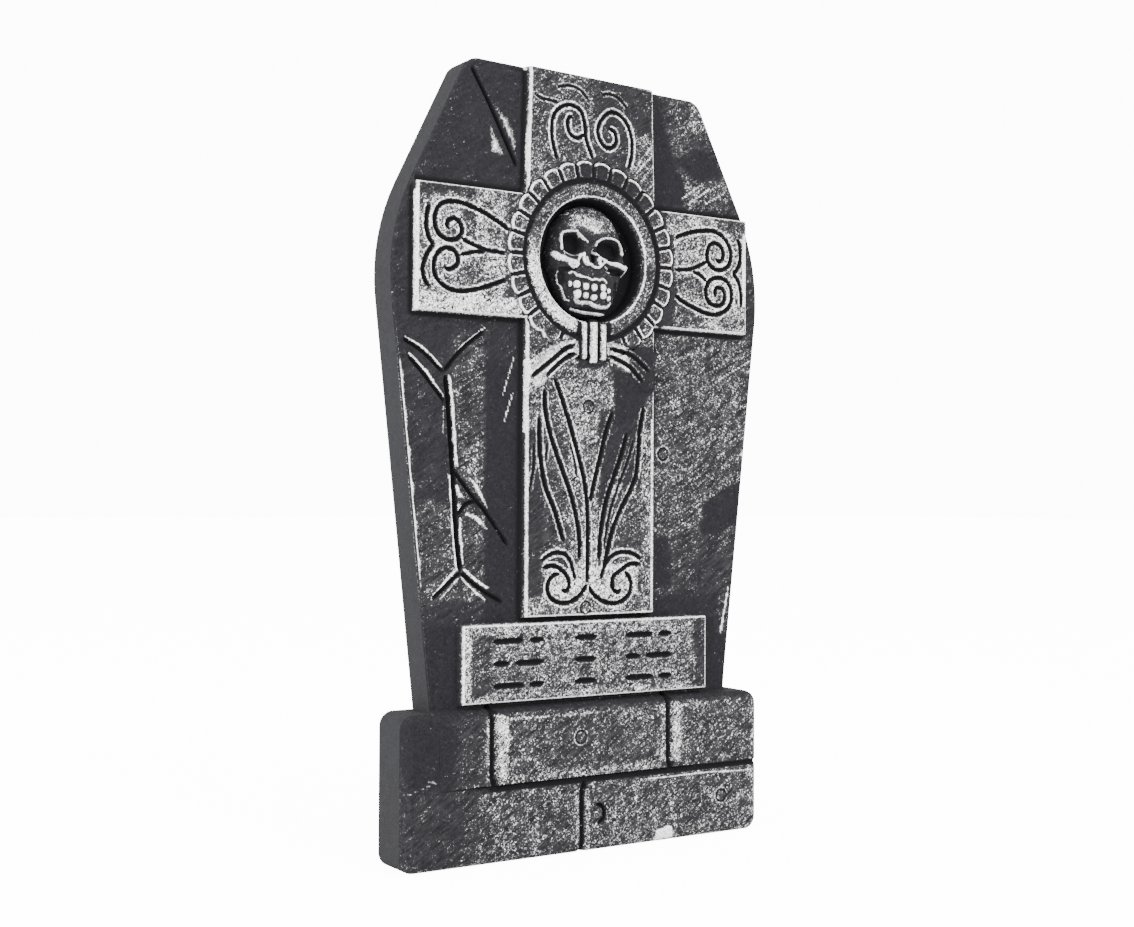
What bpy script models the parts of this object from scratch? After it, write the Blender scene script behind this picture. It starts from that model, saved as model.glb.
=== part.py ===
# Cross headstone: a moulded foam yard headstone with a raised cross, a skull medallion and a block base.
# It is one piece. The front is a relief over a flat coffin-shaped slab; the back is flat.
# The drawing is in millimetres, X to the right and Z up, and relief heights stand in front of the
# slab's face. The mesh is made in metres with the front towards -Y.
import math

import bmesh
import bpy
import numpy as np
from mathutils import Vector
from mathutils.geometry import delaunay_2d_cdt

MM = 0.001

# Slab
TOTAL_HEIGHT = 560.0
SLAB_THICKNESS = 28.0
SLAB_EDGE_RADIUS = 2.0
FOOT_WIDTH = 253.0
SHOULDER_WIDTH = 325.0
SHOULDER_HEIGHT = 432.0
SHOULDER_RADIUS = 150.0
TOP_WIDTH = 200.0
TOP_RADIUS = 14.0
TOP_DROP = 4.5

# Block base
BASE_WIDTH = 304.0
BASE_HEIGHT = 106.0
BASE_PROUD = 11.0
BASE_EDGE_RADIUS = 7.0
BASE_EDGE_LIP = 4.0
BASE_CORNER_RADIUS = 10.0
COURSE_HEIGHT = 52.0
JOINT_WIDTH = 9.0
JOINT_DEPTH = 5.0
COURSE_CUT = (2.6, 2.0)
COURSE_START = -0.7
UPPER_JOINTS = (-0.543, 0.447)
LOWER_JOINTS = (-0.053,)

# Cross
CROSS_PROUD = 7.0
WALL_DRAFT = 1.5
STEM_TOP_WIDTH = 106.0
STEM_WIDTH = 111.0
STEM_BOTTOM = 168.5
ARM_SPAN = 286.0
ARM_BOTTOM = 379.3
ARM_TOP = 467.5

# Medallion
MEDALLION_HEIGHT = 424.5
RECESS_RADIUS = 45.5
RECESS_DEPTH = 8.0
RING_WIDTH = 10.5
RING_CROWN = 2.2
PETAL_COUNT = 28
PETAL_RADIUS = 72.5
PETAL_NOTCH = 3.0
PETAL_RIM = 0.8
PETAL_DISH = 1.6
SKULL_HEIGHT = 82.0
SKULL_RELIEF = 14.5

# Knot and ribbon under the medallion
KNOT_CROWN = 4.0
RIBBON_CROWN = 1.6
RIBBON_DRAFT = 1.5

# Plaque
PLAQUE_WIDTH = 210.0
PLAQUE_BOTTOM = 110.0
PLAQUE_TOP = 164.6
PLAQUE_PROUD = 6.5
STROKE_ROWS = 3
STROKE_HALF_WIDTH = 2.7
STROKE_DEPTH = 2.6

# Carved lines: half the width and the depth of each kind of cut
SCROLL_CUT = (2.0, 2.4)
CROWN_CUT = (1.6, 2.0)
LEAF_CUT = (1.7, 1.9)
STRAND_CUT = (2.1, 2.3)
FINE_CUT = (1.1, 0.9)
CRACK_CUT = (2.6, 4.0)
BRANCH_CUT = (2.0, 2.8)

# How close two points of the mesh may stand
MERGE_DISTANCE = 0.25

# The longest side that the outline is left with
OUTLINE_STEP = 25.0

# The guide lines that the carving is drawn on. Where a real size above differs from them,
# the carving is stretched with it.
DRAWN_X = (0.0, 55.5, 72.5, 143.0, 162.5)
DRAWN_Z = (0.0, 106.0, 168.5, 379.3, 424.5, 467.5, 560.0)


def to_real(points):
    # A drawn point moved with the real guide lines.
    real_x = (0.0, STEM_WIDTH / 2, PETAL_RADIUS, ARM_SPAN / 2, SHOULDER_WIDTH / 2)
    real_z = (0.0, BASE_HEIGHT, STEM_BOTTOM, ARM_BOTTOM, MEDALLION_HEIGHT, ARM_TOP, TOTAL_HEIGHT)
    points = np.asarray(points, dtype=float)
    x = np.sign(points[:, 0]) * np.interp(abs(points[:, 0]), DRAWN_X, real_x)
    z = np.interp(points[:, 1], DRAWN_Z, real_z)
    return np.column_stack((x, z))


def spline(points, steps=4):
    # A smooth line through a few chosen points.
    points = np.asarray(points, dtype=float)
    padded = np.vstack((2 * points[0] - points[1], points, 2 * points[-1] - points[-2]))
    line = []
    for before, start, end, after in zip(padded, padded[1:], padded[2:], padded[3:]):
        for step in range(steps):
            t = step / steps
            line.append(0.5 * (2 * start + (end - before) * t
                               + (2 * before - 5 * start + 4 * end - after) * t ** 2
                               + (3 * start - before - 3 * end + after) * t ** 3))
    line.append(points[-1])
    return np.array(line)


def straight(start, end, half_width):
    # A straight cut, with closer points where it runs out at its ends.
    start = np.asarray(start, dtype=float)
    end = np.asarray(end, dtype=float)
    run = min(0.4, 2.0 * half_width / np.hypot(*(end - start)))
    shares = np.array((0, 0.25 * run, run, 0.5, 1 - run, 1 - 0.25 * run, 1))
    return start + shares[:, None] * (end - start)


def rounded_outline(corners, degrees_per_step=9.0):
    # A closed outline from corners of (x, z, radius), each turned by an arc of its radius.
    outline = []
    for index, (x, z, radius) in enumerate(corners):
        corner = Vector((x, z))
        before = (Vector(corners[index - 1][:2]) - corner).normalized()
        after = (Vector(corners[(index + 1) % len(corners)][:2]) - corner).normalized()
        if radius <= 0:
            outline.append((x, z))
            continue
        half_angle = before.angle(after) / 2
        centre = corner + (before + after).normalized() * radius / math.sin(half_angle)
        first = corner + before * radius / math.tan(half_angle) - centre
        sweep = math.pi - 2 * half_angle
        if before.cross(after) > 0:
            sweep = -sweep
        steps = max(2, round(math.degrees(abs(sweep)) / degrees_per_step))
        start = math.atan2(first.y, first.x)
        for step in range(steps + 1):
            angle = start + sweep * step / steps
            outline.append((centre.x + radius * math.cos(angle), centre.y + radius * math.sin(angle)))
    return np.array(outline)


def divided(loop, longest):
    # A closed loop with its long sides divided.
    points = []
    for start, end in zip(loop, np.roll(loop, -1, axis=0)):
        pieces = max(1, math.ceil(np.hypot(*(end - start)) / longest))
        points += [start + (end - start) * piece / pieces for piece in range(pieces)]
    return np.array(points)


def offset_loop(loop, distance):
    # A counter-clockwise loop moved outwards, or inwards where the distance is negative.
    moved = []
    for index, point in enumerate(loop):
        before = loop[index] - loop[index - 1]
        after = loop[(index + 1) % len(loop)] - loop[index]
        normal_before = np.array((before[1], -before[0])) / np.hypot(*before)
        normal_after = np.array((after[1], -after[0])) / np.hypot(*after)
        middle = normal_before + normal_after
        moved.append(point + middle * distance / max(0.3, middle @ normal_before))
    return np.array(moved)


def line_distance(points, line, closed=False):
    # Distance from each point to a line, and how far along the line its nearest place is.
    ends = np.roll(line, -1, axis=0) if closed else line[1:]
    best = np.full(len(points), np.inf)
    along = np.zeros(len(points))
    travelled = 0.0
    for start, end in zip(line, ends):
        step = end - start
        length = np.hypot(*step)
        if length < 1e-9:
            continue
        share = np.clip((points - start) @ step / length ** 2, 0, 1)
        distance = np.hypot(*(points - start - share[:, None] * step).T)
        nearer = distance < best
        best = np.where(nearer, distance, best)
        along = np.where(nearer, travelled + share * length, along)
        travelled += length
    return best, along, travelled


def inside_distance(points, loop):
    # Distance from each point to a closed loop, positive inside it.
    distance = line_distance(points, loop, closed=True)[0]
    ends = np.roll(loop, -1, axis=0)
    crossings = np.zeros(len(points), dtype=int)
    for start, end in zip(loop, ends):
        spans = (start[1] > points[:, 1]) != (end[1] > points[:, 1])
        if start[1] == end[1]:
            continue
        cut_x = start[0] + (points[:, 1] - start[1]) / (end[1] - start[1]) * (end[0] - start[0])
        crossings += spans & (points[:, 0] < cut_x)
    return np.where(crossings % 2 == 1, distance, -distance)


def rounded_drop(depth_in, radius):
    # How far a rounded edge has fallen at a distance inside it.
    fallen = np.clip(radius - depth_in, 0, radius)
    return radius - np.sqrt(radius ** 2 - fallen ** 2)


def step_up(depth_in, draft):
    # 0 outside a drafted wall, 1 inside it.
    return np.clip(1 + depth_in / draft, 0, 1)


# Outlines

def slab_outline():
    half_top = TOP_WIDTH / 2
    right_top = TOTAL_HEIGHT - TOP_DROP
    half_foot = FOOT_WIDTH / 2
    half_shoulder = SHOULDER_WIDTH / 2
    return rounded_outline((
        (-half_foot, BASE_HEIGHT / 2, 0), (half_foot, BASE_HEIGHT / 2, 0), (half_foot, BASE_HEIGHT, 0),
        (half_shoulder, SHOULDER_HEIGHT, SHOULDER_RADIUS), (half_top, right_top, TOP_RADIUS),
        (-half_top, TOTAL_HEIGHT, TOP_RADIUS), (-half_shoulder, SHOULDER_HEIGHT, SHOULDER_RADIUS),
        (-half_foot, BASE_HEIGHT, 0)))


def base_outline():
    half = BASE_WIDTH / 2
    radius = BASE_CORNER_RADIUS
    return rounded_outline(((-half, 0, radius), (half, 0, radius),
                            (half, BASE_HEIGHT, radius), (-half, BASE_HEIGHT, radius)), 15.0)


def whole_outline():
    # The slab standing in its base: the base's outline below, the slab's above.
    base = base_outline()
    slab = slab_outline()
    half_foot = FOOT_WIDTH / 2
    lower = [point for point in base if point[1] < BASE_HEIGHT / 2]
    right = [point for point in base if point[1] > BASE_HEIGHT / 2 and point[0] > half_foot]
    left = [point for point in base if point[1] > BASE_HEIGHT / 2 and point[0] < -half_foot]
    upper = [point for point in slab if point[1] >= BASE_HEIGHT]
    return divided(np.array(lower + right + upper + left), OUTLINE_STEP)


def cross_outline():
    half_top = STEM_TOP_WIDTH / 2
    half = STEM_WIDTH / 2
    reach = ARM_SPAN / 2
    above = TOTAL_HEIGHT + 4 * WALL_DRAFT
    return np.array(((-half, STEM_BOTTOM), (half, STEM_BOTTOM), (half, ARM_BOTTOM), (reach, ARM_BOTTOM),
                     (reach, ARM_TOP), (half, ARM_TOP), (half_top, above), (-half_top, above),
                     (-half, ARM_TOP), (-reach, ARM_TOP), (-reach, ARM_BOTTOM), (-half, ARM_BOTTOM)))


def plaque_outline():
    half = PLAQUE_WIDTH / 2
    return np.array(((-half, PLAQUE_BOTTOM), (half, PLAQUE_BOTTOM), (half, PLAQUE_TOP), (-half, PLAQUE_TOP)))


def ribbon_outline(side):
    # The bow that leaves the knot on one side and ends at the stem's edge.
    drawn = ((12, 369), (30, 364), (44, 357), (55, 349), (55, 334), (48, 330), (41, 332),
             (36, 340), (28, 346), (19, 351), (12, 354))
    loop = to_real([(side * x, z) for x, z in drawn])
    return loop if side < 0 else loop[::-1]


# Carving

def arm_scrolls():
    # Two facing scrolls on each arm, each drawn from the medallion to its eye, with their leaf lines
    # and the brace at the arm's end.
    scrolls = (
        ((-70, 439.5), (-77, 443.5), (-84, 447), (-92, 450.5), (-100, 453), (-108, 455), (-115, 455.3),
         (-121, 454.3), (-126, 451.5), (-129, 446), (-129.6, 440), (-128, 434.5), (-124, 430.3),
         (-118, 428.7), (-112, 430), (-108.8, 434), (-108.8, 438.5), (-111.5, 442.5), (-115, 443.7),
         (-119, 442), (-120, 438.5), (-118.5, 435.5)),
        ((-72, 405.5), (-80, 402), (-88, 399), (-96, 396.5), (-104, 394.7), (-112, 394), (-119, 395.5),
         (-125, 399), (-129, 404), (-130, 410), (-128.8, 416), (-125, 421), (-119.5, 423), (-114.5, 421.5),
         (-111.5, 417.5), (-112, 412.5), (-115.5, 409.5), (-119.5, 408.5), (-122, 410.5)),
        ((74, 448), (80, 450.5), (88, 453.2), (96, 455.2), (107, 456.5), (113, 456), (119, 453.5),
         (124, 449), (127, 443), (127.3, 437), (125, 431.5), (120, 428), (114, 427.2), (109, 429),
         (105, 433), (104.3, 438), (105.5, 443), (109, 446.8), (113.5, 447.3), (118, 445),
         (120, 440.5), (119, 435.5), (115.5, 433.8), (112.5, 436)),
        ((74, 405.5), (79, 402), (86, 399), (94, 396), (101, 394), (107, 392.8), (113, 393), (119, 394.8),
         (124, 398), (127.5, 403), (128.3, 409), (127, 415), (123, 419.5), (118, 421.3), (112, 420.8),
         (107, 418.3), (104, 414), (103.3, 408.5), (105, 403.5), (109, 400.6), (115, 399.8), (119.5, 401.8),
         (121.5, 406), (121, 410.5), (118.5, 413.5), (114, 413.5), (112, 410.5), (113, 406)))
    leaves = (((-109, 431), (-104, 428.5), (-98, 426.5), (-90, 424.5), (-82, 423.8), (-73, 423)),
              ((-110, 419), (-105, 420.3), (-99, 422), (-90, 423)),
              ((104.5, 433), (100, 430.5), (95, 428), (88, 425.5), (80, 424.5), (74, 424)),
              ((104.5, 417), (101, 420), (96, 422.8), (90, 424)))
    braces = (((-134, 452), (-135.7, 444), (-136, 436), (-134, 429), (-131, 424.5), (-134, 419.5),
               (-137, 414), (-138.5, 407), (-137, 400), (-133, 395)),
              ((133.5, 453), (136, 448), (136.8, 442), (136.5, 435.5), (133.5, 429), (130.5, 425.5),
               (134, 421), (136.8, 414.5), (137.8, 408), (137.5, 400)))
    cuts = [(spline(to_real(line), 2), SCROLL_CUT) for line in scrolls + braces]
    return cuts + [(spline(to_real(leaf), 2), LEAF_CUT) for leaf in leaves]


def crown_scrolls():
    # The two fiddleheads above the medallion, the faint arcs over them and the hairline at the left.
    arches = (((-31, 494), (-34.5, 505), (-36, 516), (-33.5, 527), (-26, 533.5), (-17.5, 534.8),
               (-10.5, 531), (-7.5, 522), (-6.5, 512), (-2.5, 503), (-0.5, 498)),
              ((31, 494), (34, 506), (33.8, 517), (30.5, 526.5), (23.5, 533), (15, 534.5), (8, 529),
               (4, 521.5), (5, 514), (10, 508.5), (16, 508.5), (20, 513.5), (18.5, 520), (13, 522.5)))
    curl = ((-7.5, 516), (-13, 512), (-19.5, 513.5), (-22.5, 520), (-21, 526), (-17.5, 526))
    arcs = (((-32, 546), (-22, 548.6), (-12, 547), (-4, 540)),
            ((7, 546), (14, 547.6), (22, 545.5), (30, 539)),
            ((-51, 540), (-45, 536.5), (-37, 536), (-29, 535)))
    cuts = [(spline(to_real(arch), 2), CROWN_CUT) for arch in arches]
    cuts.append((spline(to_real(curl), 2), CROWN_CUT))
    return cuts + [(spline(to_real(arc), 2), FINE_CUT) for arc in arcs]


def drapery():
    # The hanging folds that gather below the knot, and their two curls at the stem's foot.
    folds = (((-40.5, 330), (-40, 315), (-35, 296), (-26, 274), (-18, 255), (-13, 238), (-10.5, 222),
              (-10.5, 208)),
             ((-32, 338), (-25, 321), (-17, 299), (-10.5, 279), (-5.5, 260), (-3.5, 240), (-3.3, 215),
              (-3.6, 191)),
             ((-45, 311), (-44.5, 288), (-40, 262), (-31, 242), (-24, 221)),
             ((18, 316), (12.5, 302), (7.5, 284), (2.5, 266), (-1.5, 250)),
             ((46, 321), (42.5, 303), (41, 284), (39, 270), (34, 259), (28, 249), (22.5, 239), (18, 229),
              (15, 219), (12.5, 209), (10, 201)),
             ((31, 301), (26, 285), (20, 270), (15, 258), (11.5, 247), (9, 236), (7.2, 222), (6.3, 208)))
    fine = (((-49.5, 292), (-49.5, 276), (-53, 256)),
            ((37, 296), (30.5, 278), (21.5, 258), (15, 240), (11, 220)),
            ((-38, 293), (-40, 277)),
            ((-19, 292), (-15, 279), (-13.5, 268)))
    curls = (((-27, 199), (-32, 198), (-36.5, 193.5), (-37.5, 187.5), (-34.5, 181.8), (-28.5, 178.6),
              (-20.5, 178), (-13, 181), (-7.5, 185.5), (-4, 191)),
             ((-42, 203), (-33, 204.5), (-25, 201), (-20, 195), (-19.3, 189.5), (-22, 186.3), (-26, 187.5)),
             ((29, 199.5), (33, 195.5), (35, 190), (34, 184.5), (29.5, 179.5), (22, 176.5), (14, 177),
              (7, 180), (1, 184.5), (-2.2, 190)),
             ((43, 204), (36, 205), (30, 203), (24.5, 199.5), (19.5, 196), (18, 191), (19.5, 186.5),
              (23, 184.5), (26, 187)))
    leaves = (((-14, 194), (-15.5, 200), (-18, 207), (-22, 212), (-29, 214), (-36, 212.3), (-43, 208)),
              ((8, 194), (9.5, 199), (12, 204), (16, 209.5), (23, 213), (30, 213.5), (37, 212), (44, 208)))
    cuts = [(spline(to_real(fold), 2), STRAND_CUT) for fold in folds]
    cuts += [(spline(to_real(line), 2), FINE_CUT) for line in fine]
    cuts += [(spline(to_real(curl), 2), SCROLL_CUT) for curl in curls]
    return cuts + [(spline(to_real(leaf), 2), LEAF_CUT) for leaf in leaves]


def ribbon_pleats():
    pleats = (((-15, 362.5), (-25, 358.5), (-35, 351), (-45, 343.5), (-53, 337.5)),
              ((-15, 356.5), (-24, 352.5), (-33, 345.5), (-40, 339)),
              ((15, 361.5), (24, 360), (35, 356.5), (50, 346)),
              ((15, 356), (24, 352.5), (33, 348), (44, 338)))
    return [(spline(to_real(pleat), 3), LEAF_CUT) for pleat in pleats]


def field_cracks():
    # The forked crack on the left field and the short one beside the crown.
    main = ((-117, 337), (-114.5, 320), (-112.5, 295), (-110, 265), (-107.5, 230), (-104, 201))
    branches = (((-150, 360), (-134, 351.5), (-118, 338)), ((-146, 349), (-132, 335), (-117, 318)),
                ((-118, 339), (-104, 355), (-86, 369)), ((-110.5, 272), (-98, 257), (-84, 242), (-66, 219)),
                ((-106.5, 240), (-100, 248), (-91, 250)), ((-104, 201), (-114, 193), (-126, 183)),
                ((-104, 201), (-88, 189), (-70, 179)), ((-98, 553), (-84, 530), (-72, 508), (-60, 486)))
    cuts = [(spline(to_real(main), 2), CRACK_CUT)]
    return cuts + [(spline(to_real(branch), 2), BRANCH_CUT) for branch in branches]


def plaque_strokes():
    # Rows of short level strokes in three groups.
    groups = (-0.575, -0.04, 0.49)
    group_share = 0.20
    cuts = []
    height = PLAQUE_TOP - PLAQUE_BOTTOM
    for row in range(STROKE_ROWS):
        z = PLAQUE_BOTTOM + height * (row + 0.75) / (STROKE_ROWS + 0.5)
        for place, group in enumerate(groups):
            centre = group * PLAQUE_WIDTH / 2
            half = group_share * PLAQUE_WIDTH / 2 * (1.0 if place != 1 else 0.45)
            split = centre + half * (0.3 if (row + place) % 2 == 0 else -0.25)
            gap = 1.6 * STROKE_HALF_WIDTH
            ends = ((centre - half, split - gap / 2), (split + gap / 2, centre + half))
            if place == 1:
                ends = ((centre - half, centre + half),)
            for first, last in ends:
                line = straight((first, z), (last, z), STROKE_HALF_WIDTH)
                cuts.append((line, (STROKE_HALF_WIDTH, STROKE_DEPTH)))
    return cuts


def base_joints():
    half_joint = JOINT_WIDTH / 2
    half_base = BASE_WIDTH / 2
    start = (COURSE_START * half_base, COURSE_HEIGHT)
    course = straight(start, (half_base + JOINT_WIDTH, COURSE_HEIGHT), COURSE_CUT[0])
    cuts = [(course, COURSE_CUT)]
    for share in UPPER_JOINTS:
        x = share * half_base
        line = straight((x, COURSE_HEIGHT), (x, BASE_HEIGHT + JOINT_WIDTH), half_joint)
        cuts.append((line, (half_joint, JOINT_DEPTH)))
    for share in LOWER_JOINTS:
        x = share * half_base
        line = straight((x, -JOINT_WIDTH), (x, COURSE_HEIGHT), half_joint)
        cuts.append((line, (half_joint, JOINT_DEPTH)))
    gouge = ((2, 34), (8, 31), (9, 24), (3, 19))
    cuts.append((spline(to_real(gouge), 2), BRANCH_CUT))
    return cuts


def taper(along, length, half_width):
    # A cut runs out to a point over about twice its half width at each end.
    run = min(2.0 * half_width, 0.4 * length)
    return np.clip(np.minimum(along, length - along) / run, 0.0, 1.0) ** 0.6


# The relief's height

def angle_round(points):
    centre = np.array((0.0, MEDALLION_HEIGHT))
    offset = points - centre
    return np.hypot(*offset.T), np.arctan2(offset[:, 1], offset[:, 0])


def petal_edge(angle):
    # The outer edge of the petals swells between the radial notches.
    swell = abs(np.sin(angle * PETAL_COUNT / 2))
    return PETAL_RADIUS - PETAL_NOTCH * (1 - swell ** 0.7)


def medallion_height(points, height):
    radius, angle = angle_round(points)
    edge = petal_edge(angle)
    ring_outer = RECESS_RADIUS + RING_WIDTH
    collar = step_up(edge - radius, WALL_DRAFT) * (CROSS_PROUD + PETAL_RIM)
    height = np.where(radius > edge, np.maximum(height, collar), height)
    share = np.clip((radius - ring_outer) / (edge - ring_outer), 0, 1)
    swell = abs(np.sin(angle * PETAL_COUNT / 2))
    dish = CROSS_PROUD + PETAL_RIM - PETAL_DISH * (1 - share ** 3) * (0.4 + 0.6 * swell)
    notch = 1.5 * np.clip(1 - swell / 0.25, 0, 1) * np.clip(share * 2, 0, 1)
    height = np.where(radius <= edge, dish - notch, height)
    middle = RECESS_RADIUS + RING_WIDTH / 2
    across = np.clip(abs(radius - middle) / (RING_WIDTH / 2), 0, 1)
    crown = CROSS_PROUD + RING_CROWN * np.sqrt(1 - across ** 2)
    height = np.where(abs(radius - middle) <= RING_WIDTH / 2, crown, height)
    floor_share = step_up(radius - RECESS_RADIUS, WALL_DRAFT)
    floor = CROSS_PROUD * floor_share - RECESS_DEPTH * (1 - floor_share)
    return np.where(radius < RECESS_RADIUS, np.maximum(floor, skull_height(points)), height)


# The skull's proportions as shares of its height: centre across and up, half width, half height, height
SKULL_LUMPS = (
    (-0.20, 0.135, 0.140, 0.030, 0.050), (0.20, 0.135, 0.140, 0.030, 0.050),
    (-0.33, -0.065, 0.110, 0.060, 0.060), (0.33, -0.065, 0.110, 0.060, 0.060),
    (0.00, 0.020, 0.055, 0.120, 0.030), (0.00, -0.120, 0.230, 0.050, 0.020),
    (0.00, -0.440, 0.200, 0.045, 0.045))
SKULL_HOLLOWS = (
    (-0.200, 0.020, 0.150, 0.105, 0.140), (0.200, 0.020, 0.150, 0.105, 0.140),
    (-0.040, -0.115, 0.036, 0.060, 0.060), (0.040, -0.115, 0.036, 0.060, 0.060),
    (-0.290, -0.240, 0.085, 0.105, 0.070), (0.290, -0.240, 0.085, 0.105, 0.070))
SKULL_HALF_WIDTHS = ((-0.52, 0.0), (-0.50, 0.20), (-0.40, 0.27), (-0.15, 0.37), (-0.05, 0.42),
                     (0.10, 0.38), (0.30, 0.34), (0.42, 0.24), (0.50, 0.0))
TEETH_LEVELS = (-0.235, -0.315)
TEETH_COUNT = 6
TOOTH_HALF_WIDTH = 0.042
TOOTH_HALF_HEIGHT = 0.036
SKULL_LATTICE_STEP = 3.1


def skull_height(points):
    x = points[:, 0] / SKULL_HEIGHT
    z = (points[:, 1] - MEDALLION_HEIGHT) / SKULL_HEIGHT
    levels, widths = np.array(SKULL_HALF_WIDTHS).T
    half = np.interp(z, levels, widths)
    across = np.clip(abs(x) / np.maximum(half, 1e-6), 0, 1)
    upright = np.clip(1 - (abs(z) / 0.52) ** 4, 0, 1) ** 0.5
    relief = SKULL_RELIEF / SKULL_HEIGHT
    shape = relief * (1 - across ** 3.2) ** 0.5 * upright
    for cx, cz, wide, high, raised in SKULL_LUMPS:
        shape += raised * np.exp(-(((x - cx) / wide) ** 2 + ((z - cz) / high) ** 2)) * (across < 1)
    for cx, cz, wide, high, deep in SKULL_HOLLOWS:
        span = ((x - cx) / wide) ** 2 + ((z - cz) / high) ** 2
        shape -= deep * np.clip(1.6 * (1 - span), 0, 1)
    for level in TEETH_LEVELS:
        for tooth in range(TEETH_COUNT):
            cx = (tooth - (TEETH_COUNT - 1) / 2) * 2.1 * TOOTH_HALF_WIDTH
            span = ((x - cx) / TOOTH_HALF_WIDTH) ** 4 + ((z - level) / TOOTH_HALF_HEIGHT) ** 4
            shape += 0.03 * np.clip(1 - span, 0, 1) ** 0.5
    inside = (across < 1) & (abs(z) < 0.52)
    return np.where(inside, np.maximum(shape, 0) * SKULL_HEIGHT - RECESS_DEPTH, -RECESS_DEPTH)


KNOT_BARS = ((-8.7, 2.5, 352.0, 380.0), (-0.5, 3.6, 349.5, 382.0), (7.8, 2.9, 352.0, 379.0))


def knot_height(points, height):
    for centre, half, bottom, top in KNOT_BARS:
        (x, z_low), (_, z_high) = to_real(((centre, bottom), (centre, top)))
        across = np.clip(abs(points[:, 0] - x) / half, 0, 1)
        ends = np.clip(np.minimum(points[:, 1] - z_low, z_high - points[:, 1]) / half, 0, 1)
        bar = CROSS_PROUD + KNOT_CROWN * np.sqrt(1 - across ** 2) * np.sqrt(1 - (1 - ends) ** 2)
        on_bar = (across < 1) & (ends > 0)
        height = np.where(on_bar, np.maximum(bar, height), height)
    return height


def slab_height(points):
    height = np.zeros(len(points))
    cross_in = inside_distance(points, cross_outline())
    plaque_in = inside_distance(points, plaque_outline())
    height = np.maximum(height, CROSS_PROUD * step_up(cross_in, WALL_DRAFT))
    height = np.maximum(height, PLAQUE_PROUD * step_up(plaque_in, WALL_DRAFT))
    for side in (-1, 1):
        ribbon_in = inside_distance(points, ribbon_outline(side))
        raised = RIBBON_CROWN * np.clip(ribbon_in / RIBBON_DRAFT, 0, 1)
        height = np.where(ribbon_in > 0, np.maximum(height, CROSS_PROUD + raised), height)
    height = medallion_height(points, height)
    height = knot_height(points, height)
    return height - rounded_drop(inside_distance(points, slab_outline()), SLAB_EDGE_RADIUS)


def base_height(points):
    inside = inside_distance(points, base_outline())
    fall = (BASE_PROUD - BASE_EDGE_LIP) / BASE_EDGE_RADIUS
    rounded = BASE_PROUD - rounded_drop(inside, BASE_EDGE_RADIUS) * fall
    return np.where(inside >= 0, rounded, BASE_EDGE_LIP * (1 + inside / WALL_DRAFT))


def all_cuts():
    return (arm_scrolls() + crown_scrolls() + drapery() + ribbon_pleats() + field_cracks()
            + plaque_strokes() + base_joints())


def relief_height(points, cuts):
    in_slab = inside_distance(points, slab_outline()) > -MERGE_DISTANCE
    slab = np.where(in_slab, slab_height(points), -np.inf)
    height = np.maximum(slab, base_height(points))
    deepest = np.zeros(len(points))
    for line, (half_width, depth) in cuts:
        distance, along, length = line_distance(points, line)
        width = half_width * taper(along, length, half_width) + 1e-9
        deepest = np.maximum(deepest, depth * width / half_width * np.clip(1 - distance / width, 0, 1))
    return height - deepest


# The lines that the mesh follows

def cut_lines(line, half_width):
    # The bottom of a cut and its two lips.
    before = np.vstack((line[:1], line[:-1]))
    after = np.vstack((line[1:], line[-1:]))
    tangent = after - before
    tangent /= np.hypot(*tangent.T)[:, None]
    normal = np.column_stack((-tangent[:, 1], tangent[:, 0]))
    steps = np.hypot(*np.diff(line, axis=0).T)
    along = np.concatenate(((0.0,), np.cumsum(steps)))
    width = half_width * taper(along, along[-1], half_width)
    side = normal * width[:, None]
    return [line, (line + side)[1:-1], (line - side)[1:-1]]


def circle(radius, count, swell=False):
    angle = np.arange(count) / count * 2 * math.pi
    if swell:
        radius = petal_edge(angle) + radius - PETAL_RADIUS
    return np.column_stack((radius * np.cos(angle), MEDALLION_HEIGHT + radius * np.sin(angle)))


def closed(loop):
    return np.vstack((loop, loop[:1]))


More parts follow.
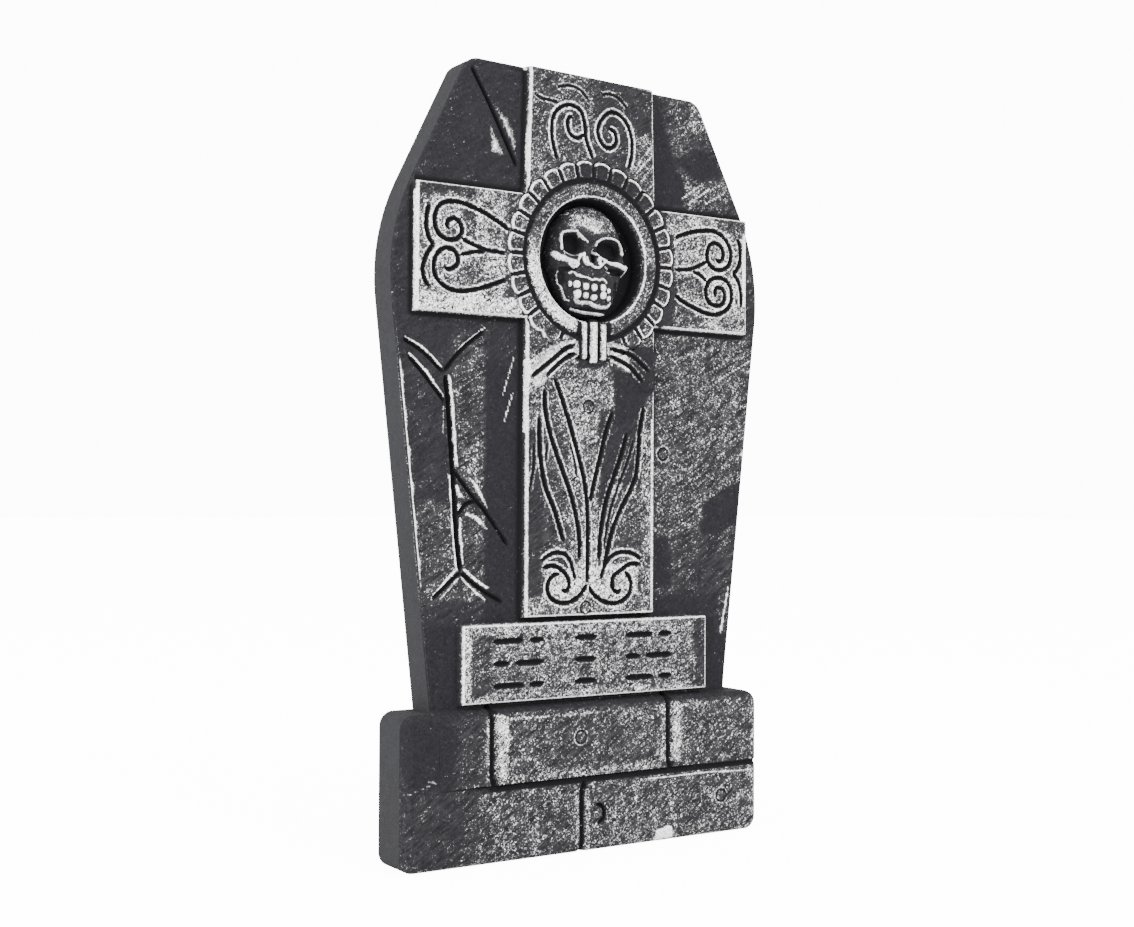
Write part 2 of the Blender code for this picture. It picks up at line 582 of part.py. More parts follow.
def mesh_lines(cuts):
    lines = []
    for line, (half_width, depth) in cuts:
        lines += cut_lines(line, half_width)
    for depth in (0.25 * SLAB_EDGE_RADIUS, SLAB_EDGE_RADIUS):
        lines.append(closed(offset_loop(slab_outline(), -depth)))
    for depth in (-WALL_DRAFT, 0.12 * BASE_EDGE_RADIUS, 0.45 * BASE_EDGE_RADIUS, BASE_EDGE_RADIUS):
        lines.append(closed(offset_loop(base_outline(), -depth)))
    for loop in (cross_outline(), plaque_outline()):
        lines += [closed(loop), closed(offset_loop(loop, WALL_DRAFT))]
    for side in (-1, 1):
        loop = ribbon_outline(side)
        lines += [closed(loop), closed(offset_loop(loop, -RIBBON_DRAFT))]
    ring_outer = RECESS_RADIUS + RING_WIDTH
    sides = 3 * PETAL_COUNT
    for share in (0.0, 0.12, 0.5, 0.88, 1.0):
        lines.append(closed(circle(RECESS_RADIUS + share * RING_WIDTH, sides)))
    lines.append(closed(circle(RECESS_RADIUS - WALL_DRAFT, 48)))
    lines.append(closed(circle((ring_outer + PETAL_RADIUS) / 2, sides)))
    lines.append(closed(circle(PETAL_RADIUS, 6 * PETAL_COUNT, swell=True)))
    lines.append(closed(circle(PETAL_RADIUS + WALL_DRAFT, sides, swell=True)))
    for notch in range(PETAL_COUNT):
        angle = notch / PETAL_COUNT * 2 * math.pi
        spoke = np.array((math.cos(angle), math.sin(angle)))
        reach = np.array((ring_outer, PETAL_RADIUS - PETAL_NOTCH))
        lines.append(np.array((0, MEDALLION_HEIGHT)) + reach[:, None] * spoke)
    for centre, half, bottom, top in KNOT_BARS:
        for share in (-1, -0.6, 0, 0.6, 1):
            ends = ((centre, bottom + 0.3 * half), (centre, (bottom + top) / 2), (centre, top - 0.3 * half))
            lines.append(to_real(ends) + (share * half, 0))
    return lines


def skull_points():
    # A close lattice over the skull, where the relief is rounded all over.
    rows = np.arange(-0.5 * SKULL_HEIGHT, 0.5 * SKULL_HEIGHT, SKULL_LATTICE_STEP)
    columns = np.arange(-0.42 * SKULL_HEIGHT, 0.42 * SKULL_HEIGHT, SKULL_LATTICE_STEP)
    x, z = np.meshgrid(columns, rows)
    x[::2] += SKULL_LATTICE_STEP / 2
    points = np.column_stack((x.ravel(), z.ravel() + MEDALLION_HEIGHT))
    radius = angle_round(points)[0]
    return points[radius < RECESS_RADIUS - 2 * WALL_DRAFT]


def front_triangles(cuts):
    # The front, triangulated along every carved line and trimmed to the outline.
    outline = whole_outline()
    vertices = [Vector(point) for point in outline]
    edges = [(index, (index + 1) % len(outline)) for index in range(len(outline))]
    for line in mesh_lines(cuts):
        first = len(vertices)
        vertices += [Vector(point) for point in line]
        edges += [(first + index, first + index + 1) for index in range(len(line) - 1)]
    vertices += [Vector(point) for point in skull_points()]
    points, _, triangles, _, _, _ = delaunay_2d_cdt(vertices, edges, [], 0, MERGE_DISTANCE)
    points = np.array([tuple(point) for point in points])
    triangles = np.array(triangles)
    centres = points[triangles].mean(axis=1)
    kept = triangles[inside_distance(centres, outline) > 0]
    return points, kept


def headstone_mesh():
    cuts = all_cuts()
    points, triangles = front_triangles(cuts)
    depth = SLAB_THICKNESS + BASE_PROUD
    slab_face = BASE_PROUD - depth / 2
    height = relief_height(points, cuts)
    shape = bmesh.new()
    used = np.unique(triangles)
    made = {index: shape.verts.new((points[index][0] * MM, (slab_face - height[index]) * MM,
                                    points[index][1] * MM)) for index in used}
    for corners in triangles:
        a, b, c = points[corners]
        turn = (b[0] - a[0]) * (c[1] - a[1]) - (b[1] - a[1]) * (c[0] - a[0])
        order = corners if turn > 0 else corners[::-1]
        shape.faces.new([made[index] for index in order])
    rim = [edge for edge in shape.edges if edge.is_boundary]
    sides = bmesh.ops.extrude_edge_only(shape, edges=rim)["geom"]
    for vertex in sides:
        if isinstance(vertex, bmesh.types.BMVert):
            vertex.co.y = depth / 2 * MM
    back_rim = [edge for edge in shape.edges if edge.is_boundary]
    bmesh.ops.triangle_fill(shape, edges=back_rim, use_beauty=True)
    bmesh.ops.recalc_face_normals(shape, faces=shape.faces)
    mesh = bpy.data.meshes.new("headstone")
    shape.to_mesh(mesh)
    shape.free()
    return mesh


def foam_material():
    material = bpy.data.materials.new("painted_foam")
    material.use_nodes = True
    shader = material.node_tree.nodes["Principled BSDF"]
    shader.inputs["Base Color"].default_value = (0.085, 0.083, 0.088, 1.0)
    shader.inputs["Roughness"].default_value = 0.85
    shader.inputs["Metallic"].default_value = 0.0
    return material


def main():
    for old in list(bpy.data.objects):
        bpy.data.objects.remove(old, do_unlink=True)
    mesh = headstone_mesh()
    mesh.materials.append(foam_material())
    headstone = bpy.data.objects.new("headstone", mesh)
    bpy.context.collection.objects.link(headstone)


main()
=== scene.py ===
import math

import bpy
import numpy as np
from mathutils import Matrix, Vector, noise
from mathutils.geometry import delaunay_2d_cdt


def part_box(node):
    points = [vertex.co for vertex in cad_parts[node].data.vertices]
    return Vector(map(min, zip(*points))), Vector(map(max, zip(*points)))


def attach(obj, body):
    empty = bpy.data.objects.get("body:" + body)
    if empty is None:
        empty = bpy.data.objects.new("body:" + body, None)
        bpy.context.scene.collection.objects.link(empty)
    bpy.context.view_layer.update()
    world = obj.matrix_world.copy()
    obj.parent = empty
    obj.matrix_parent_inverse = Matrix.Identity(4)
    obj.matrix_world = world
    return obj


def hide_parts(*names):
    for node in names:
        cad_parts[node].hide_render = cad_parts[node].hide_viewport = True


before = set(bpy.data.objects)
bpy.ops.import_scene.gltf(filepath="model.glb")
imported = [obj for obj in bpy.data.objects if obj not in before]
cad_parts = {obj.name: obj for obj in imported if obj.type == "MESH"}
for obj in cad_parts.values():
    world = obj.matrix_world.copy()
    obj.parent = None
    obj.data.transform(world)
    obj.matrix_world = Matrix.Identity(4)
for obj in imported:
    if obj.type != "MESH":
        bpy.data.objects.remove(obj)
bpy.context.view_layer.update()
print("frame loaded")

mm = 0.001  # the drawing is in millimetres, X right and Z up; heights stand in front of the slab's face
cadLow, cadHigh = [np.array(corner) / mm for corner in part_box("headstone")]

slabShape = {
    "height": cadHigh[2],
    "depth": cadHigh[1] - cadLow[1],
    "edgeRadius": 2.0,
    "footWidth": 253.0,
    "shoulderWidth": 325.0,
    "shoulderHeight": 432.0,
    "shoulderRadius": 150.0,
    "topWidth": 200.0,
    "topRadius": 14.0,
    "topDrop": 4.5,
    "backRound": 1.6,
}
baseShape = {
    "width": 304.0,
    "height": 106.0,
    "proud": 11.0,
    "edgeRadius": 7.0,
    "edgeLip": 4.0,
    "cornerRadius": 10.0,
    "course": 52.0,
    "upperJoints": (-82.5, 68.0),
    "lowerJoints": (-8.0,),
    "jointCut": (4.5, 5.0),
    "courseCut": (2.6, 2.0),
    "courseStart": -0.7,   # as a share of half the width
    "jointRunOut": 5.0,    # how far the joints run on past the block's edges
    "courseRunOut": 9.0,
    "nick": ((2, 34), (8, 31), (9, 24), (3, 19)),
    "wobble": 0.7,
    "wobbleSize": 30.0,
}
slabFace = cadLow[1] + baseShape["proud"]
crossShape = {
    "proud": 7.0,
    "draft": 1.4,
    "round": 1.1,
    "stemTop": 106.0,
    "stem": 111.0,
    "stemBottom": 168.5,
    "span": 286.0,
    "armBottom": 379.3,
    "armTop": 467.5,
    "stemRunOut": 8.0,
}
plaqueShape = {
    "width": 210.0,
    "bottom": 110.0,
    "top": 164.6,
    "proud": 6.5,
    "strokeRows": 3,
    "strokeCut": (2.5, 2.6),
    "groups": (-60.4, -4.2, 51.5),
    "groupHalf": (21.0, 9.5, 21.0),
    "splits": (0.3, -0.25),  # where a row's stroke is parted, as a share of half its group
}


# Lines of the drawing

def spline(points, steps=4):
    points = np.asarray(points, dtype=float)
    padded = np.vstack((2 * points[0] - points[1], points, 2 * points[-1] - points[-2]))
    line = []
    for before, start, end, after in zip(padded, padded[1:], padded[2:], padded[3:]):
        for step in range(steps):
            t = step / steps
            line.append(0.5 * (2 * start + (end - before) * t
                               + (2 * before - 5 * start + 4 * end - after) * t ** 2
                               + (3 * start - before - 3 * end + after) * t ** 3))
    line.append(points[-1])
    return np.array(line)


def straight(start, end, pieces=24):
    share = np.linspace(0, 1, pieces + 1)[:, None]
    return np.array(start) + share * (np.array(end) - np.array(start))


def ring(centre, radius, count=24):
    angle = np.linspace(0, 2 * math.pi, count + 1)
    return np.column_stack((centre[0] + radius * np.cos(angle), centre[1] + radius * np.sin(angle)))


def roundedOutline(corners, degreesPerStep=4.0):
    outline = []
    for index, (x, z, radius) in enumerate(corners):
        corner = Vector((x, z))
        before = (Vector(corners[index - 1][:2]) - corner).normalized()
        after = (Vector(corners[(index + 1) % len(corners)][:2]) - corner).normalized()
        if radius <= 0:
            outline.append((x, z))
            continue
        halfAngle = before.angle(after) / 2
        centre = corner + (before + after).normalized() * radius / math.sin(halfAngle)
        first = corner + before * radius / math.tan(halfAngle) - centre
        sweep = math.pi - 2 * halfAngle
        if before.cross(after) > 0:
            sweep = -sweep
        steps = max(2, round(math.degrees(abs(sweep)) / degreesPerStep))
        start = math.atan2(first.y, first.x)
        for step in range(steps + 1):
            angle = start + sweep * step / steps
            outline.append((centre.x + radius * math.cos(angle), centre.y + radius * math.sin(angle)))
    return np.array(outline)


def offsetLoop(loop, distance):
    # outwards for a counter-clockwise loop
    moved = []
    for index, point in enumerate(loop):
        before = loop[index] - loop[index - 1]
        after = loop[(index + 1) % len(loop)] - loop[index]
        normalBefore = np.array((before[1], -before[0])) / np.hypot(*before)
        normalAfter = np.array((after[1], -after[0])) / np.hypot(*after)
        middle = normalBefore + normalAfter
        moved.append(point + middle * distance / max(0.3, middle @ normalBefore))
    return np.array(moved)


def divided(loop, longest):
    points = []
    for start, end in zip(loop, np.roll(loop, -1, axis=0)):
        pieces = max(1, math.ceil(np.hypot(*(end - start)) / longest))
        points += [start + (end - start) * piece / pieces for piece in range(pieces)]
    return np.array(points)


def lineDistance(points, line, closed=False):
    ends = np.roll(line, -1, axis=0) if closed else line[1:]
    best = np.full(len(points), np.inf)
    along = np.zeros(len(points))
    travelled = 0.0
    for start, end in zip(line, ends):
        step = end - start
        length = np.hypot(*step)
        if length < 1e-9:
            continue
        share = np.clip((points - start) @ step / length ** 2, 0, 1)
        distance = np.hypot(*(points - start - share[:, None] * step).T)
        nearer = distance < best
        best[nearer] = distance[nearer]
        along[nearer] = travelled + share[nearer] * length
        travelled += length
    return best, along, travelled


def insideDistance(points, loop):
    distance = lineDistance(points, loop, closed=True)[0]
    crossings = np.zeros(len(points), dtype=int)
    for start, end in zip(loop, np.roll(loop, -1, axis=0)):
        if start[1] == end[1]:
            continue
        spans = (start[1] > points[:, 1]) != (end[1] > points[:, 1])
        cutX = start[0] + (points[:, 1] - start[1]) / (end[1] - start[1]) * (end[0] - start[0])
        crossings += spans & (points[:, 0] < cutX)
    return np.where(crossings % 2 == 1, distance, -distance)


def ease(t):
    t = np.clip(t, 0, 1)
    return t * t * (3 - 2 * t)


def roundedDrop(depthIn, radius):
    fallen = np.clip(radius - depthIn, 0, radius)
    return radius - np.sqrt(radius ** 2 - fallen ** 2)


def wall(depthIn):
    # a drafted wall with a softened lip and foot
    return ease((depthIn + crossShape["draft"]) / (crossShape["draft"] + crossShape["round"]))


def waves(points, size, seed):
    # smooth noise between -1 and 1, of lumps about so many millimetres across
    scale = 1 / size
    return np.array([noise.noise(Vector((x * scale, z * scale, seed))) for x, z in points])


# Outlines

def slabOutline():
    halfFoot = slabShape["footWidth"] / 2
    halfShoulder = slabShape["shoulderWidth"] / 2
    halfTop = slabShape["topWidth"] / 2
    top = slabShape["height"]
    shoulder = slabShape["shoulderHeight"]
    foot = baseShape["height"]
    return roundedOutline((
        (-halfFoot, foot / 2, 0), (halfFoot, foot / 2, 0), (halfFoot, foot, 0),
        (halfShoulder, shoulder, slabShape["shoulderRadius"]),
        (halfTop, top - slabShape["topDrop"], slabShape["topRadius"]),
        (-halfTop, top, slabShape["topRadius"]),
        (-halfShoulder, shoulder, slabShape["shoulderRadius"]), (-halfFoot, foot, 0)))


def baseOutline():
    half = baseShape["width"] / 2
    radius = baseShape["cornerRadius"]
    top = baseShape["height"]
    corners = ((-half, 0, radius), (half, 0, radius), (half, top, radius), (-half, top, radius))
    return roundedOutline(corners, degreesPerStep=9.0)


def wholeOutline():
    base = baseOutline()
    halfFoot = slabShape["footWidth"] / 2
    top = baseShape["height"]
    lower = [point for point in base if point[1] < top / 2]
    right = [point for point in base if point[1] > top / 2 and point[0] > halfFoot]
    left = [point for point in base if point[1] > top / 2 and point[0] < -halfFoot]
    upper = [point for point in slabOutline() if point[1] >= top]
    return divided(np.array(lower + right + upper + left), 3.0)


def crossOutline():
    halfTop = crossShape["stemTop"] / 2
    half = crossShape["stem"] / 2
    reach = crossShape["span"] / 2
    bottom, top = crossShape["armBottom"], crossShape["armTop"]
    above = slabShape["height"] + crossShape["stemRunOut"]
    return np.array(((-half, crossShape["stemBottom"]), (half, crossShape["stemBottom"]), (half, bottom),
                     (reach, bottom), (reach, top), (half, top), (halfTop, above), (-halfTop, above),
                     (-half, top), (-reach, top), (-reach, bottom), (-half, bottom)))


def plaqueOutline():
    half = plaqueShape["width"] / 2
    bottom, top = plaqueShape["bottom"], plaqueShape["top"]
    return np.array(((-half, bottom), (half, bottom), (half, top), (-half, top)))


def ribbonOutline(side):
    loop = np.array([(side * x, z) for x, z in knotShape["ribbon"]], dtype=float)
    return loop if side < 0 else loop[::-1]


# Carving

cutKinds = {  # half the width and the depth of each kind of cut
    "scroll": (2.0, 2.4),
    "crown": (1.6, 2.0),
    "leaf": (1.7, 1.9),
    "pleat": (1.9, 2.0),
    "strand": (2.1, 2.3),
    "fine": (1.1, 0.9),
    "vent": (0.8, 0.7),
    "crack": (2.6, 4.0),
    "branch": (2.0, 2.8),
    "stroke": plaqueShape["strokeCut"],
    "joint": baseShape["jointCut"],
    "course": baseShape["courseCut"],
}
lipWhite = {  # how white the brush left the lips of each kind of cut
    "scroll": 0.95,
    "crown": 0.85,
    "leaf": 0.85,
    "pleat": 0.95,
    "strand": 0.8,
    "fine": 0.6,
    "vent": 0.6,
    "stroke": 0.6,
}
lipLine = (0.75, 0.5)  # how far outside a cut its white lip runs, and half its width
ventMarks = {  # round marks of the mould's vents
    "radius": 4.4,
    "places": ((-5, 174), (-3, 318.5), (68.5, 286), (-11, 82.5), (116, 29)),
}


def armScrolls():
    # two facing scrolls on each arm, each drawn from the medallion to its eye, with their leaf lines
    # and the brace at the arm's end
    scrolls = (
        ((-70, 439.5), (-77, 443.5), (-84, 447), (-92, 450.5), (-100, 453), (-108, 455), (-115, 455.3),
         (-121, 454.3), (-126, 451.5), (-129, 446), (-129.6, 440), (-128, 434.5), (-124, 430.3),
         (-118, 428.7), (-112, 430), (-108.8, 434), (-108.8, 438.5), (-111.5, 442.5), (-115, 443.7),
         (-119, 442), (-120, 438.5), (-118.5, 435.5)),
        ((-72, 405.5), (-80, 402), (-88, 399), (-96, 396.5), (-104, 394.7), (-112, 394), (-119, 395.5),
         (-125, 399), (-129, 404), (-130, 410), (-128.8, 416), (-125, 421), (-119.5, 423), (-114.5, 421.5),
         (-111.5, 417.5), (-112, 412.5), (-115.5, 409.5), (-119.5, 408.5), (-122, 410.5)),
        ((74, 448), (80, 450.5), (88, 453.2), (96, 455.2), (107, 456.5), (113, 456), (119, 453.5),
         (124, 449), (127, 443), (127.3, 437), (125, 431.5), (120, 428), (114, 427.2), (109, 429),
         (105, 433), (104.3, 438), (105.5, 443), (109, 446.8), (113.5, 447.3), (118, 445),
         (120, 440.5), (119, 435.5), (115.5, 433.8), (112.5, 436)),
        ((74, 405.5), (79, 402), (86, 399), (94, 396), (101, 394), (107, 392.8), (113, 393), (119, 394.8),
         (124, 398), (127.5, 403), (128.3, 409), (127, 415), (123, 419.5), (118, 421.3), (112, 420.8),
         (107, 418.3), (104, 414), (103.3, 408.5), (105, 403.5), (109, 400.6), (115, 399.8), (119.5, 401.8),
         (121.5, 406), (121, 410.5), (118.5, 413.5), (114, 413.5), (112, 410.5), (113, 406)))
    leaves = (((-109, 431), (-104, 428.5), (-98, 426.5), (-90, 424.5), (-82, 423.8), (-73, 423)),
              ((-110, 419), (-105, 420.3), (-99, 422), (-90, 423)),
              ((104.5, 433), (100, 430.5), (95, 428), (88, 425.5), (80, 424.5), (74, 424)),
              ((104.5, 417), (101, 420), (96, 422.8), (90, 424)))
    braces = (((-134, 452), (-135.7, 444), (-136, 436), (-134, 429), (-131, 424.5), (-134, 419.5),
               (-137, 414), (-138.5, 407), (-137, 400), (-133, 395)),
              ((133.5, 453), (136, 448), (136.8, 442), (136.5, 435.5), (133.5, 429), (130.5, 425.5),
               (134, 421), (136.8, 414.5), (137.8, 408), (137.5, 400)))
    cuts = [(spline(line, 5), "scroll") for line in scrolls + braces]
    return cuts + [(spline(leaf, 5), "leaf") for leaf in leaves]


def crownScrolls():
    # the two fiddleheads above the medallion, the faint arcs over them and the hairline at the left
    arches = (((-31, 494), (-34.5, 505), (-36, 516), (-33.5, 527), (-26, 533.5), (-17.5, 534.8),
               (-10.5, 531), (-7.5, 522), (-6.5, 512), (-2.5, 503), (-0.5, 498)),
              ((31, 494), (34, 506), (33.8, 517), (30.5, 526.5), (23.5, 533), (15, 534.5), (8, 529),
               (4, 521.5), (5, 514), (10, 508.5), (16, 508.5), (20, 513.5), (18.5, 520), (13, 522.5)))
    curl = ((-7.5, 516), (-13, 512), (-19.5, 513.5), (-22.5, 520), (-21, 526), (-17.5, 526))
    arcs = (((-32, 546), (-22, 548.6), (-12, 547), (-4, 540)),
            ((7, 546), (14, 547.6), (22, 545.5), (30, 539)),
            ((-51, 540), (-45, 536.5), (-37, 536), (-29, 535)))
    cuts = [(spline(arch, 5), "crown") for arch in arches]
    cuts.append((spline(curl, 5), "crown"))
    return cuts + [(spline(arc, 5), "fine") for arc in arcs]


def drapery():
    # the hanging folds that gather below the knot, and their two curls at the stem's foot
    folds = (((-40.5, 330), (-40, 315), (-35, 296), (-26, 274), (-18, 255), (-13, 238), (-10.5, 222),
              (-10.5, 208)),
             ((-32, 338), (-25, 321), (-17, 299), (-10.5, 279), (-5.5, 260), (-3.5, 240), (-3.3, 215),
              (-3.6, 191)),
             ((-45, 311), (-44.5, 288), (-40, 262), (-31, 242), (-24, 221)),
             ((18, 316), (12.5, 302), (7.5, 284), (2.5, 266), (-1.5, 250)),
             ((46, 321), (42.5, 303), (41, 284), (39, 270), (34, 259), (28, 249), (22.5, 239), (18, 229),
              (15, 219), (12.5, 209), (10, 201)),
             ((31, 301), (26, 285), (20, 270), (15, 258), (11.5, 247), (9, 236), (7.2, 222), (6.3, 208)))
    fine = (((-49.5, 292), (-49.5, 276), (-53, 256)),
            ((37, 296), (30.5, 278), (21.5, 258), (15, 240), (11, 220)),
            ((-38, 293), (-40, 277)),
            ((-19, 292), (-15, 279), (-13.5, 268)))
    curls = (((-27, 199), (-32, 198), (-36.5, 193.5), (-37.5, 187.5), (-34.5, 181.8), (-28.5, 178.6),
              (-20.5, 178), (-13, 181), (-7.5, 185.5), (-4, 191)),
             ((-42, 203), (-33, 204.5), (-25, 201), (-20, 195), (-19.3, 189.5), (-22, 186.3), (-26, 187.5)),
             ((29, 199.5), (33, 195.5), (35, 190), (34, 184.5), (29.5, 179.5), (22, 176.5), (14, 177),
              (7, 180), (1, 184.5), (-2.2, 190)),
             ((43, 204), (36, 205), (30, 203), (24.5, 199.5), (19.5, 196), (18, 191), (19.5, 186.5),
              (23, 184.5), (26, 187)))
    leaves = (((-14, 194), (-15.5, 200), (-18, 207), (-22, 212), (-29, 214), (-36, 212.3), (-43, 208)),
              ((8, 194), (9.5, 199), (12, 204), (16, 209.5), (23, 213), (30, 213.5), (37, 212), (44, 208)))
    cuts = [(spline(fold, 5), "strand") for fold in folds]
    cuts += [(spline(line, 5), "fine") for line in fine]
    cuts += [(spline(curl, 5), "scroll") for curl in curls]
    return cuts + [(spline(leaf, 5), "leaf") for leaf in leaves]


def ribbonPleats():
    pleats = (((-15, 362.5), (-25, 358.5), (-35, 351), (-45, 343.5), (-53, 337.5)),
              ((-15, 356.5), (-24, 352.5), (-33, 345.5), (-40, 339)),
              ((15, 361.5), (24, 360), (35, 356.5), (50, 346)),
              ((15, 356), (24, 352.5), (33, 348), (44, 338)))
    return [(spline(pleat, 5), "pleat") for pleat in pleats]


def fieldCracks():
    # the forked crack on the left field and the short one beside the crown
    main = ((-117, 337), (-114.5, 320), (-112.5, 295), (-110, 265), (-107.5, 230), (-104, 201))
    branches = (((-150, 360), (-134, 351.5), (-118, 338)), ((-146, 349), (-132, 335), (-117, 318)),
                ((-118, 339), (-104, 355), (-86, 369)), ((-110.5, 272), (-98, 257), (-84, 242), (-66, 219)),
                ((-106.5, 240), (-100, 248), (-91, 250)), ((-104, 201), (-114, 193), (-126, 183)),
                ((-104, 201), (-88, 189), (-70, 179)), ((-98, 553), (-84, 530), (-72, 508), (-60, 486)))
    cuts = [(spline(main, 5), "crack")]
    return cuts + [(spline(branch, 5), "branch") for branch in branches]


def plaqueStrokes():
    # rows of short level strokes in three groups, parted in the outer two
    cuts = []
    rows = plaqueShape["strokeRows"]
    height = plaqueShape["top"] - plaqueShape["bottom"]
    gap = 0.8 * plaqueShape["strokeCut"][0]
    for row in range(rows):
        z = plaqueShape["bottom"] + height * (row + 0.75) / (rows + 0.5)
        for place, (centre, half) in enumerate(zip(plaqueShape["groups"], plaqueShape["groupHalf"])):
            split = centre + half * plaqueShape["splits"][(row + place) % 2]
            ends = ((centre - half, split - gap), (split + gap, centre + half))
            if place == 1:
                ends = ((centre - half, centre + half),)
            for first, last in ends:
                cuts.append((straight((first, z), (last, z)), "stroke"))
    return cuts


def baseJoints():
    half = baseShape["width"] / 2
    course, runOut = baseShape["course"], baseShape["courseRunOut"]
    cuts = [(straight((baseShape["courseStart"] * half, course), (half + runOut, course), 60), "course")]
    for x in baseShape["upperJoints"]:
        cuts.append((straight((x, course), (x, baseShape["height"] + baseShape["jointRunOut"])), "joint"))
    for x in baseShape["lowerJoints"]:
        cuts.append((straight((x, -runOut), (x, course)), "joint"))
    cuts.append((spline(baseShape["nick"], 5), "branch"))
    return cuts


def ventRings():
    return [(ring(place, ventMarks["radius"]), "vent") for place in ventMarks["places"]]


allCuts = (armScrolls() + crownScrolls() + drapery() + ribbonPleats() + fieldCracks() + plaqueStrokes()
           + baseJoints() + ventRings())


def taper(along, length, halfWidth):
    # a cut narrows to a point over the last of its length
    run = min(1.6 * halfWidth, 0.3 * length)
    return np.clip(np.minimum(along, length - along) / run, 0.0, 1.0) ** 0.5


def band(distance, middle, half):
    # 1 in the middle of a painted line, 0 at twice its half width
    return ease(2 - abs(distance - middle) / half)


def cutDepth(points):
    # how deep the cuts go at each point, how far outside the nearest one it is and how white its lip
    deepest = np.zeros(len(points))
    white = np.zeros(len(points))
    lip = np.full(len(points), np.inf)
    reach = 6.0  # past a cut's edge its lip no longer matters
    for line, kind in allCuts:
        halfWidth, depth = cutKinds[kind]
        low = line.min(axis=0) - halfWidth - reach
        high = line.max(axis=0) + halfWidth + reach
        near = np.flatnonzero(((points > low) & (points < high)).all(axis=1))
        if not len(near):
            continue
        distance, along, length = lineDistance(points[near], line)
        width = halfWidth * taper(along, length, halfWidth) + 1e-6
        cut = depth * width / halfWidth * (1 - ease(distance / width))
        deepest[near] = np.maximum(deepest[near], cut)
        lip[near] = np.minimum(lip[near], distance - width)
        strength = lipWhite.get(kind, 0) * ease(width / halfWidth * 2 - 0.6)
        white[near] = np.maximum(white[near], strength * band(distance - width, *lipLine))
    return deepest, lip, white


# Relief

medallionShape = {
    "height": 424.5,
    "recess": 45.5,
    "recessDepth": 8.0,
    "ringWidth": 10.5,
    "ringCrown": 2.4,
    "ringFoot": 0.6,       # how far the ring's feet lie below the cross
    "recessWall": 1.8,
    "petals": 28,
    "petalRadius": 72.5,
    "petalNotch": 3.0,
    "petalRim": 1.0,
    "petalFoot": 0.7,
    "petalDish": 1.7,
    "petalGap": 3.0,
    "petalGroove": 1.0,    # half the width of the groove between two petals
    "grownTogether": (222.0, 242.0),  # degrees where two petals are one lobe
}


def medallionPolar(points):
    offset = points - np.array((0.0, medallionShape["height"]))
    return np.hypot(*offset.T), np.arctan2(offset[:, 1], offset[:, 0])


def petalEdge(angle):
    swell = abs(np.sin(angle * medallionShape["petals"] / 2))
    return medallionShape["petalRadius"] - medallionShape["petalNotch"] * (1 - swell ** 0.7)


def petalFeet():
    # radius where the petals start, just outside the ring
    return medallionShape["recess"] + medallionShape["ringWidth"] + medallionShape["petalGap"]


def petalInside(radius, angle):
    # how far inside its petal each point is
    pitch = 2 * math.pi / medallionShape["petals"]
    fromGroove = radius * abs((angle / pitch + 0.5) % 1 - 0.5) * pitch
    turn = np.degrees(angle) % 360
    low, high = medallionShape["grownTogether"]
    fromGroove = np.where((turn > low) & (turn < high), np.inf, fromGroove)
    fromGroove -= medallionShape["petalGroove"]
    return np.minimum(np.minimum(fromGroove, petalEdge(angle) - radius), radius - petalFeet())


def medallionHeight(points, height):
    shape = medallionShape
    radius, angle = medallionPolar(points)
    edge = petalEdge(angle)
    proud = crossShape["proud"]
    top = proud + shape["petalRim"]
    height = np.where(radius > edge, np.maximum(height, wall(edge - radius) * top), height)
    inside = petalInside(radius, angle)
    rimHeight = shape["petalRim"] + shape["petalFoot"]
    petal = proud - shape["petalFoot"] + rimHeight * ease((inside + 0.4) / 1.4)
    petal -= shape["petalDish"] * ease((inside - 1.4) / 3.0)
    petal -= top * (1 - wall(edge - radius))
    height = np.where(radius <= edge, petal, height)
    middle = shape["recess"] + shape["ringWidth"] / 2
    across = np.clip(abs(radius - middle) / (shape["ringWidth"] / 2), 0, 1)
    crown = proud - shape["ringFoot"] + (shape["ringCrown"] + shape["ringFoot"]) * np.sqrt(1 - across ** 2)
    height = np.where(abs(radius - middle) <= shape["ringWidth"] / 2, crown, height)
    rise = np.clip(1 + (radius - shape["recess"]) / shape["recessWall"], 0, 1)
    floor = proud * rise - shape["recessDepth"] * (1 - rise)
    height = np.where(radius < shape["recess"], floor, height)
    within = np.flatnonzero(radius < shape["recess"])
    height[within] = np.maximum(height[within], skullRelief(points[within])[0])
    return height


